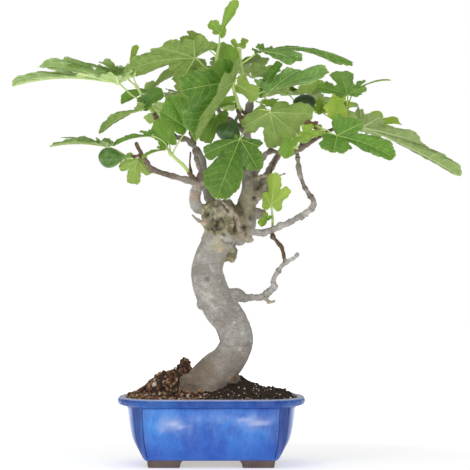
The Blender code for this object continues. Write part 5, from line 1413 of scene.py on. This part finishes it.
def leaf_material(colours):
    """Leaf blade: veined green above, paler below with raised veins, yellow-green if young, brown if dry."""
    material, work, shader = new_material("leaf_blade", Subsurface_Weight=0.14, Subsurface_Scale=0.0025,
                                          Subsurface_Radius=(0.7, 1.0, 0.3), Specular_IOR_Level=0.32)
    rib = work.note("rib", "Vector")
    under, young, dried = work.parts(work.note("look", "Vector"))[:3]
    veins = work.group(leaf_veins, Rib=rib)
    cloud = work.group(mottle, Spot=work.spot(), Broad=75.0, Fine=700.0)
    above = work.blend(cloud["Clouds"], colours.leaf_shade, colours.leaf_top)
    below = work.blend(cloud["Clouds"], colours.leaf_under, colours.leaf_under_light)
    for kind, top_share, low_share in (("Net", 0.09, 0.05), ("Sides", 0.45, 0.42), ("Ribs", 0.9, 0.9)):
        above = work.cover(above, (veins[kind], top_share, colours.leaf_vein))
        below = work.cover(below, (veins[kind], low_share, colours.leaf_under_vein))
    fresh = work.blend(veins["Ribs"], colours.leaf_young, colours.leaf_vein)
    fresh = work.cover(fresh, (cloud["Clouds"], 0.4, colours.leaf_top))
    colour = work.cover(work.blend(under, above, below), (young, 0.9, fresh))
    brown = work.blend(cloud["Grain"], colours.leaf_dried, colours.leaf_dried_edge)
    colour = work.blend(dried, colour, brown)
    # Painted highlight: a pale band along every blade's margin.
    colour = work.cover(colour, (work.step(work.parts(rib)[2], 0.965, 1.0), 0.35, colours.leaf_young))
    value, strength = work.parts(work.note("tint", "Vector"))[:2]
    tinted = work.add("HueSaturation", (("Color", colour), ("Saturation", strength), ("Value", value)))
    raised = work.times(veins["Height"], work.line(under, 1.4, -1.0))
    work.join(shader, Base_Color=tinted.outputs[0],
              Roughness=work.line(under, 0.24, work.line(cloud["Grain"], 0.1, 0.36)),
              Normal=work.bump(work.line(cloud["Grain"], 0.15, raised), 0.00028, 0.8))
    return material


def stalk_material(colours):
    """Stalks and green stems: pale green, greener and browner towards the foot, with clouds and dots."""
    material, work, shader = new_material("leaf_stalk", Subsurface_Weight=0.1, Subsurface_Scale=0.002,
                                          Specular_IOR_Level=0.45)
    part, young, woody = work.parts(work.note("look", "Vector"))[:3]
    spot = work.spot()
    cloud = work.group(mottle, Spot=spot, Broad=160.0, Fine=1100.0)
    dots = work.group(speckle, Spot=spot, Scale=700.0, Size=0.3, Share=0.45)["Dots"]
    green = work.blend(work.step(part, 0.0, 0.8), colours.stem_green, colours.stalk_pale)
    colour = work.cover(green, (cloud["Clouds"], 0.45, colours.leaf_top), (young, 0.4, colours.leaf_young),
                        (woody, 0.8, colours.twig_brown), (dots, 0.35, colours.stalk_pale))
    work.join(shader, Base_Color=colour, Roughness=work.line(cloud["Grain"], 0.2, 0.42),
              Normal=work.bump(cloud["Height"], 0.0003, 0.6))
    return material


def bark_material(colours):
    """Bark: pale grey clouds with level wrinkles, olive on the crown, brown on twigs, orange at old cuts."""
    material, work, shader = new_material("fig_bark", Specular_IOR_Level=0.3)
    spot = work.spot()
    olive, twig, cut = work.parts(work.note("bark", "Vector"))[:3]
    cloud = work.group(mottle, Spot=spot, Broad=48.0, Fine=520.0)
    level = work.scaled(spot, (1.0, 1.0, 3.4))
    wrinkles = work.group(mottle, Spot=level, Broad=110.0, Fine=900.0)
    fine = work.group(mottle, Spot=level, Broad=170.0, Fine=420.0)
    pores = work.group(speckle, Spot=spot, Scale=330.0, Size=0.24, Share=0.4)["Dots"]
    lichen = work.step(work.noise(spot, 70.0, 5.0, 0.7), 0.56, 0.66)
    grey = work.cover(
        colours.bark_shade, (cloud["Clouds"], 0.7, colours.bark_light),
        (wrinkles["Clouds"], 0.30, colours.bark_shade), (fine["Clouds"], 0.55, colours.bark_dark),
        (fine["Grain"], 0.34, colours.bark_light), (lichen, 0.7, colours.bark_lichen),
        (pores, 0.5, colours.bark_dark))
    mossy = work.blend(fine["Clouds"], colours.bark_olive, colours.bark_olive_light)
    mossy = work.cover(mossy, (lichen, 0.5, colours.bark_lichen))
    colour = work.cover(grey, (olive, work.step(work.noise(spot, 140.0), 0.30, 0.50), mossy))
    bleached = work.blend(wrinkles["Grain"], colours.bark_dead, colours.bark_shade)
    young = work.blend(cloud["Grain"], colours.twig_brown, colours.twig_light)
    warm = work.blend(cloud["Grain"], colours.bark_cut, colours.bark_cut_light)
    for mask, layer in ((work.note("dead"), bleached), (twig, young), (cut, warm)):
        colour = work.blend(mask, colour, layer)
    height = work.plus(cloud["Height"], work.plus(wrinkles["Height"], fine["Height"]))
    # The dark note darkens the bark: random clouds and marks, painted shade in cracks, hollows and between
    # the crown's knobs, and a painted highlight on the knobs' tops.
    work.join(shader, Base_Color=work.shaded(colour, work.line(work.note("dark"), -0.85, 1.0)),
              Roughness=work.line(cloud["Grain"], 0.2, 0.62),
              Normal=work.bump(work.number("SUBTRACT", height, pores), 0.0008, 0.9))
    return material


def fig_material(colours):
    """Fig skin: deep green, lighter on its ribs and neck, with fine pale dots, and painted shade on the
    middle and right figs.
    """
    material, work, shader = new_material("fig_skin", Specular_IOR_Level=0.45, Coat_Roughness=0.35,
                                          Subsurface_Weight=0.05, Subsurface_Scale=0.002)
    spot = work.spot()
    part, rib, darkness = work.parts(work.note("fig", "Vector"))[:3]
    cloud = work.group(mottle, Spot=spot, Broad=130.0, Fine=900.0)
    dots = work.group(speckle, Spot=spot, Scale=620.0, Size=0.22, Share=0.6)["Dots"]
    colour = work.blend(cloud["Clouds"], colours.fig_shade, colours.fig_green)
    ribs = work.step(rib, -0.4, 1.0, 0.0, 0.35)
    neck, eye = work.step(part, 0.5, 0.12), work.step(part, 0.985, 0.998)
    # Painted shade darkens the middle and right figs.
    for mask, layer in ((ribs, colours.fig_rib), (neck, colours.fig_rib), (darkness, colours.fig_deep),
                        (work.times(dots, 0.5), colours.fig_dots), (eye, colours.fig_eye)):
        colour = work.blend(mask, colour, layer)
    work.join(shader, Base_Color=colour, Roughness=work.line(cloud["Grain"], 0.14, 0.34),
              Normal=work.bump(work.line(dots, 0.6, cloud["Height"]), 0.0002, 0.5))
    return material


def glaze_material(colours):
    """Glazed stoneware: cobalt in streaks, thin at the edges, with painted highlights and shade; bare clay
    below.
    """
    material, work, shader = new_material("cobalt_glaze", Coat_Roughness=0.06, Specular_IOR_Level=0.3)
    spot, deep = work.spot(), work.note("deep")
    runs = work.group(mottle, Spot=work.scaled(spot, (1.0, 1.0, 0.35)), Broad=60.0, Fine=330.0)
    cloud = work.group(mottle, Spot=spot, Broad=26.0, Fine=800.0)
    pits = work.group(speckle, Spot=spot, Scale=260.0, Size=0.13, Share=0.42)["Dots"]
    blue = work.blend(cloud["Clouds"], colours.glaze_deep, colours.glaze_blue)
    blue = work.cover(blue, (runs["Clouds"], 0.5, colours.glaze_light),
                      (runs["Grain"], 0.35, colours.glaze_deep))
    blue = work.blend(work.step(work.parts(spot)[2], 0.062, 0.012, 0.0, 0.6), blue, colours.glaze_deep)
    # Painted shade in the corners, under the rim and on its outer face, pooled glaze in the grooves, then
    # small dark pits.
    blue = work.cover(blue, (deep, 0.85, colours.glaze_pool), (pits, 0.7, colours.glaze_pit))
    # Painted highlights, broken up by streaks.
    streaks = work.noise(work.scaled(spot, (1.0, 1.0, 0.6)), 55.0, 4.0)
    painted_highlight = work.step(work.plus(work.note("painted_highlight"), work.line(streaks, 0.8, -0.4)), 0.1, 1.0, 0.0, 0.85)
    ragged = work.line(work.noise(spot, 170.0, 4.0, 0.65), 1.1, -0.55)
    thin = work.step(work.plus(work.note("worn"), ragged), 0.32, 0.95)
    blue = work.cover(work.blend(painted_highlight, blue, colours.glaze_milky), (thin, 0.75, colours.glaze_thin))
    clay = work.blend(cloud["Grain"], colours.clay_dark, colours.clay)
    clay = work.cover(clay, (cloud["Clouds"], 0.4, colours.clay_light), (work.note("dusty"), 0.8, DUST))
    body = work.step(work.plus(work.note("bare"), work.times(ragged, 0.3)), 0.4, 0.6)
    rough = work.line(deep, 0.3, work.line(thin, 0.15, work.line(runs["Grain"], 0.08, 0.17)))
    ripple = work.line(pits, -0.8, runs["Height"])
    rough_clay = work.times(work.times(cloud["Height"], body), 3.0)
    work.join(shader, Base_Color=work.blend(body, blue, clay),
              Roughness=work.number("MAXIMUM", rough, work.times(body, 0.82)),
              Coat_Weight=work.times(work.rest(work.number("MAXIMUM", body, deep)), 0.45),
              Normal=work.bump(work.plus(ripple, rough_clay), 0.00035, 0.5))
    return material


def soil_material():
    """Soil: each grain's own tone with a finer grain on it, and dust between."""
    material, work, shader = new_material("bonsai_soil", Specular_IOR_Level=0.25)
    cloud = work.group(mottle, Spot=work.spot(), Broad=260.0, Fine=1400.0)
    colour = work.shaded(work.note("tint", "Color"), work.line(cloud["Grain"], 0.7, 0.62))
    work.join(shader, Base_Color=colour, Roughness=work.line(cloud["Clouds"], 0.25, 0.68),
              Normal=work.bump(cloud["Height"], 0.0006, 0.9))
    return material


def screen_material(colours):
    """Plastic mesh of the drain screens, with a little soil dust on it."""
    material, work, shader = new_material("screen_mesh", Specular_IOR_Level=0.4)
    cloud = work.group(mottle, Spot=work.spot(), Broad=220.0, Fine=1600.0)
    work.join(shader, Base_Color=work.cover(colours.screen, (cloud["Clouds"], 0.5, DUST)),
              Roughness=work.line(cloud["Clouds"], 0.3, 0.45), Normal=work.bump(cloud["Height"], 0.0001, 0.4))
    return material


def floor_material(colours):
    """Pale matt floor, with a trace of unevenness, that glows white away from the pot like a lit backdrop."""
    material, work, shader = new_material("pale_floor", Specular_IOR_Level=0.2, Emission_Strength=1.0)
    spot = work.spot()
    cloud = work.group(mottle, Spot=spot, Broad=2.0, Fine=30.0)
    reach = work.add("VectorMath", ((0, spot),), operation="LENGTH").outputs["Value"]
    glow = work.blend(work.step(reach, GLOW_START, GLOW_FULL), colours.floor_glow, (1, 1, 1, 1))
    work.join(shader, Base_Color=work.cover(colours.floor, (cloud["Clouds"], 0.3, colours.floor_shade)),
              Emission_Color=glow, Roughness=work.line(cloud["Grain"], 0.08, 0.72))
    return material


def paint(name, description, *tone):
    """Colour property, from red, green and blue between 0 and 255, turned to the light's own scale."""
    parts = [value / 255 for value in tone]
    light = [part / 12.92 if part <= 0.04045 else ((part + 0.055) / 1.055) ** 2.4 for part in parts]
    return bpy.props.FloatVectorProperty(name=name, description=description, default=(*light, 1.0), size=4,
                                         min=0.0, max=1.0, subtype="COLOR")


def amount(name, description, default, least, unit="NONE"):
    """Number property with its least value and its unit."""
    return bpy.props.FloatProperty(name=name, description=description, default=default, min=least, unit=unit)


class FigBonsaiColours(bpy.types.PropertyGroup):
    """Colours of every finish."""
    leaf_top: paint("Leaf top", "Upper side of a grown leaf", 92, 138, 46)
    leaf_shade: paint("Leaf top, darker", "Darker clouds on the upper side", 68, 116, 34)
    leaf_vein: paint("Leaf vein", "Ribs and veins seen from above", 184, 206, 116)
    leaf_under: paint("Leaf underside", "Lower side of a leaf", 118, 146, 70)
    leaf_under_light: paint("Leaf underside, lighter", "Lighter clouds below", 138, 162, 84)
    leaf_under_vein: paint("Leaf underside vein", "Raised veins below", 192, 208, 136)
    leaf_young: paint("Young leaf", "Leaves that have just opened", 162, 186, 66)
    leaf_dried: paint("Dried leaf", "A leaf that has dried", 120, 84, 58)
    leaf_dried_edge: paint("Dried leaf, darker", "Darker parts of a dried leaf", 84, 58, 44)
    stem_green: paint("Stem", "Green stems", 92, 122, 60)
    stalk_pale: paint("Stalk", "Leaf stalks near the blade", 176, 190, 122)
    twig_brown: paint("Young twig", "Bark of thin twigs", 84, 64, 46)
    twig_light: paint("Young twig, lighter", "Lighter grain on thin twigs", 128, 106, 80)
    bark_light: paint("Bark", "Grey bark of the trunk", 208, 204, 198)
    bark_shade: paint("Bark, darker", "Darker clouds on the trunk", 146, 141, 131)
    bark_lichen: paint("Bark, palest", "Thin pale crusts on the bark", 206, 204, 196)
    bark_dark: paint("Bark wrinkles", "Wrinkles and pores of the bark", 108, 100, 90)
    bark_olive: paint("Crown bark", "Olive bark on the swollen crown", 138, 134, 96)
    bark_olive_light: paint("Crown bark, lighter", "Lighter parts of the crown", 188, 182, 140)
    bark_dead: paint("Dead wood", "Bleached dead twigs", 204, 188, 160)
    bark_cut: paint("Old cut", "Face of old cuts and wounds", 150, 112, 80)
    bark_cut_light: paint("Old cut, lighter", "Lighter grain on old cuts", 190, 162, 128)
    # Painted shade on the figs that hang inside the crown.
    fig_deep: paint("Fig, shaded", "Darker skin of the right figs", 34, 58, 26)
    fig_green: paint("Fig", "Skin of the unripe figs", 82, 124, 36)
    fig_shade: paint("Fig, darker", "Darker clouds on the figs", 54, 92, 34)
    fig_rib: paint("Fig rib", "Ribs and neck of a fig", 98, 134, 60)
    fig_dots: paint("Fig dots", "Pale dots on the skin", 150, 172, 110)
    fig_eye: paint("Fig eye", "Scales at the blossom end", 132, 108, 66)
    glaze_blue: paint("Glaze", "Cobalt glaze", 54, 138, 222)
    glaze_deep: paint("Glaze, deeper", "Where the glaze lies thick", 20, 72, 172)
    glaze_light: paint("Glaze, lighter", "Runs in the glaze", 96, 152, 222)
    # Painted highlight: window reflections on the walls and along the rim's top.
    glaze_milky: paint("Glaze, milky", "Pale clouds in the glaze", 172, 186, 222)
    glaze_thin: paint("Glaze, thin", "Where the glaze breaks over an edge", 166, 164, 186)
    # Painted shade in the corners and under the rim, and pooled glaze in the grooves.
    glaze_pool: paint("Glaze, pooled", "Dark glaze in grooves, corners and under the rim", 10, 40, 118)
    glaze_pit: paint("Glaze pit", "Small dark pits", 34, 40, 92)
    clay: paint("Clay", "Bare clay of the feet", 104, 88, 84)
    clay_dark: paint("Clay, darker", "Darker grain in the clay", 76, 62, 60)
    clay_light: paint("Clay, lighter", "Dusty parts of the clay", 136, 118, 108)
    screen: paint("Drain screen", "Plastic mesh over the holes", 40, 40, 42)
    floor: paint("Floor", "Studio floor", 246, 246, 246)
    floor_glow: paint("Floor glow", "Light that the floor gives off under the pot", 180, 180, 180)
    floor_shade: paint("Floor, darker", "Slow clouds on the floor", 240, 240, 241)


class FigBonsaiSizes(bpy.types.PropertyGroup):
    """Sizes of the fine surfaces."""
    wood_cube: amount("Wood cube", "Side of the cubes that remesh the wood", 1.25 * MM, 0.8 * MM, "LENGTH")
    grain_count: bpy.props.IntProperty(
        name="Grains", description="Loose grains tried on the soil", default=4300, min=100, max=7000)
    fine_grain: amount("Fine grain", "Half width of most grains at the right", 0.75 * MM, 0.4 * MM, "LENGTH")
    coarse_grain: amount("Coarse grain", "Half width of most grains at the left", 1.75 * MM, 0.4 * MM,
                         "LENGTH")


class FigBonsaiStage(bpy.types.PropertyGroup):
    """Floor and lights."""
    floor_radius: amount("Floor radius", "Radius of the round floor", 6.0, 1.0, "LENGTH")
    world_light: amount("World light", "Strength of the even white surroundings", 0.42, 0.0)
    side_light: amount("Side light", "Power of each low softbox", 4.5, 0.0, "POWER")
    top_light: amount("Top light", "Power of the softbox above", 9.0, 0.0, "POWER")


class FigBonsaiSettings(bpy.types.PropertyGroup):
    """Everything that the panel offers."""
    sizes: bpy.props.PointerProperty(type=FigBonsaiSizes)
    colours: bpy.props.PointerProperty(type=FigBonsaiColours)
    stage: bpy.props.PointerProperty(type=FigBonsaiStage)


def chosen(context):
    return context.scene.fig_bonsai


class FIGBONSAI_OT_pot(bpy.types.Operator):
    """Build the glazed pot in place of its solid"""
    bl_idname = "fig_bonsai.pot"
    bl_label = "Glazed Pot"

    def execute(self, context):
        show("glazed_pot", pot_mesh(), [glaze_material(chosen(context).colours)], "pot")
        return {"FINISHED"}


class FIGBONSAI_OT_screens(bpy.types.Operator):
    """Build the woven screens over the drain holes"""
    bl_idname = "fig_bonsai.screens"
    bl_label = "Drain Screens"

    def execute(self, context):
        material = screen_material(chosen(context).colours)
        for name, x in (("drain_screen_left", -HOLE_X), ("drain_screen_right", HOLE_X)):
            show(name + "_woven", screen_mesh(name + "_woven", x), [material], name)
        return {"FINISHED"}


class FIGBONSAI_OT_soil(bpy.types.Operator):
    """Build the soil that fills the pot and its loose grains"""
    bl_idname = "fig_bonsai.soil"
    bl_label = "Soil and Grains"

    def execute(self, context):
        material = soil_material()
        show("soil_bed", soil_bed_mesh(), [material], "soil")
        show("soil_grains", soil_grains_mesh(chosen(context).sizes), [material], None)
        return {"FINISHED"}


class FIGBONSAI_OT_wood(bpy.types.Operator):
    """Build the trunk and its branches as one grown surface"""
    bl_idname = "fig_bonsai.wood"
    bl_label = "Trunk and Branches"

    def execute(self, context):
        settings = chosen(context)
        mesh, material = wood_mesh(settings.sizes.wood_cube), bark_material(settings.colours)
        show("trunk_wood", mesh, [material], "trunk_and_branches")
        return {"FINISHED"}


class FIGBONSAI_OT_leaves(bpy.types.Operator):
    """Build every leafy shoot with its stem, stalks and veined blades"""
    bl_idname = "fig_bonsai.leaves"
    bl_label = "Leafy Shoots"

    def execute(self, context):
        colours = chosen(context).colours
        materials = [leaf_material(colours), stalk_material(colours)]
        for number, shoot in enumerate(SHOOTS):
            show(shoot.name + "_leafy", shoot_mesh(shoot, number), materials, shoot.name)
        return {"FINISHED"}


class FIGBONSAI_OT_figs(bpy.types.Operator):
    """Build the ribbed figs"""
    bl_idname = "fig_bonsai.figs"
    bl_label = "Figs"

    def execute(self, context):
        material = fig_material(chosen(context).colours)
        for fig in FIGS:
            show(fig.name + "_fruit", fig_mesh(fig), [material], fig.name)
        return {"FINISHED"}


def round_floor(radius):
    """Flat disc at the level of the feet: rings round a point, whose reach grows as their number squared."""
    rings, sides = 14, 96
    reach = radius * (np.arange(1, rings + 1) / rings) ** 2
    turn = even_turns(sides)
    grid = np.stack([reach[:, None] * np.cos(turn), reach[:, None] * np.sin(turn),
                     np.zeros((rings, sides))], axis=-1)
    column = np.arange(sides)
    triangles = np.stack([column * 0, column + 1, (column + 1) % sides + 1], axis=1)
    points = np.vstack([np.zeros(3), grid.reshape(-1, 3)])
    quads = grid_quads(rings, sides, True)[:, ::-1] + 1
    return make_mesh("studio_floor", Skin(points, quads, triangles, {}))


def softbox(name, spot, target, size, power):
    """Area light at a spot, turned to face its target."""
    light = bpy.data.lights.new(name, "AREA")
    light.shape = "RECTANGLE"
    light.size, light.size_y = size
    light.energy = power
    item = new_object(name, light)
    back = np.array(spot, dtype=float) - target
    flat = math.hypot(back[0], back[1])
    item.location = spot
    item.rotation_euler = (math.atan2(flat, back[2]), 0.0, math.atan2(back[0], -back[1]))


class FIGBONSAI_OT_stage(bpy.types.Operator):
    """Set up the pale floor, the soft light and the camera of the front view"""
    bl_idname = "fig_bonsai.stage"
    bl_label = "Stage"

    def execute(self, context):
        scene, stage = context.scene, chosen(context).stage
        floor = new_object("studio_floor", round_floor(stage.floor_radius))
        floor.data.materials.append(floor_material(chosen(context).colours))

        world = bpy.data.worlds.new("white_surroundings")
        world.use_nodes = True
        work, sky = Wiring(world.node_tree), world.node_tree.nodes["Background"].inputs
        seen = work.add("LightPath").outputs["Is Camera Ray"]
        strength = work.line(seen, 1.0 - stage.world_light, stage.world_light)
        work.join(sky, Color=(1.0, 1.0, 1.0, 1.0), Strength=strength)
        scene.world = world
        pot, crown, low = (POT_X, POT_Y, 0.2), (POT_X, POT_Y, 0.25), (0.35, 0.8)
        softbox("softbox_left", (-0.75, -1.35, 0.35), pot, low, stage.side_light)
        softbox("softbox_right", (0.55, -1.5, 0.35), pot, low, stage.side_light * 0.8)
        softbox("softbox_top", (-0.3, -0.4, 1.9), crown, (1.4, 1.4), stage.top_light)

        camera = bpy.data.cameras.new("front_view")
        camera.sensor_width = FILM_WIDTH
        camera.lens = FILM_WIDTH * EYE_DISTANCE / (VIEW_CELLS * CELL)
        view = new_object("front_view", camera)
        view.location = (POT_X + EYE_ACROSS, POT_Y - EYE_DISTANCE, EYE_HEIGHT)
        view.rotation_euler = (math.radians(90), 0.0, 0.0)
        scene.camera = view
        scene.view_settings.view_transform = "Standard"
        return {"FINISHED"}


STEPS = ("pot", "screens", "soil", "wood", "leaves", "figs", "stage")


class FIGBONSAI_PT_panel(bpy.types.Panel):
    """Buttons for every piece, and the settings they read"""
    bl_idname = "FIGBONSAI_PT_panel"
    bl_label = "Fig Bonsai"
    bl_space_type = "VIEW_3D"
    bl_region_type = "UI"
    bl_category = "Fig Bonsai"

    def draw(self, context):
        for step in STEPS:
            self.layout.operator("fig_bonsai." + step)
        for group in (chosen(context).sizes, chosen(context).stage, chosen(context).colours):
            box = self.layout.box()
            for name in group.__annotations__:
                box.prop(group, name)


CLASSES = (FigBonsaiSizes, FigBonsaiColours, FigBonsaiStage, FigBonsaiSettings, FIGBONSAI_OT_pot,
           FIGBONSAI_OT_screens, FIGBONSAI_OT_soil, FIGBONSAI_OT_wood, FIGBONSAI_OT_leaves, FIGBONSAI_OT_figs,
           FIGBONSAI_OT_stage, FIGBONSAI_PT_panel)


def register():
    for item in CLASSES:
        bpy.utils.register_class(item)
    bpy.types.Scene.fig_bonsai = bpy.props.PointerProperty(type=FigBonsaiSettings)


def unregister():
    del bpy.types.Scene.fig_bonsai
    for item in reversed(CLASSES):
        bpy.utils.unregister_class(item)


def main():
    register()
    for step in STEPS:
        getattr(bpy.ops.fig_bonsai, step)()


if __name__ == "__main__":
    main()
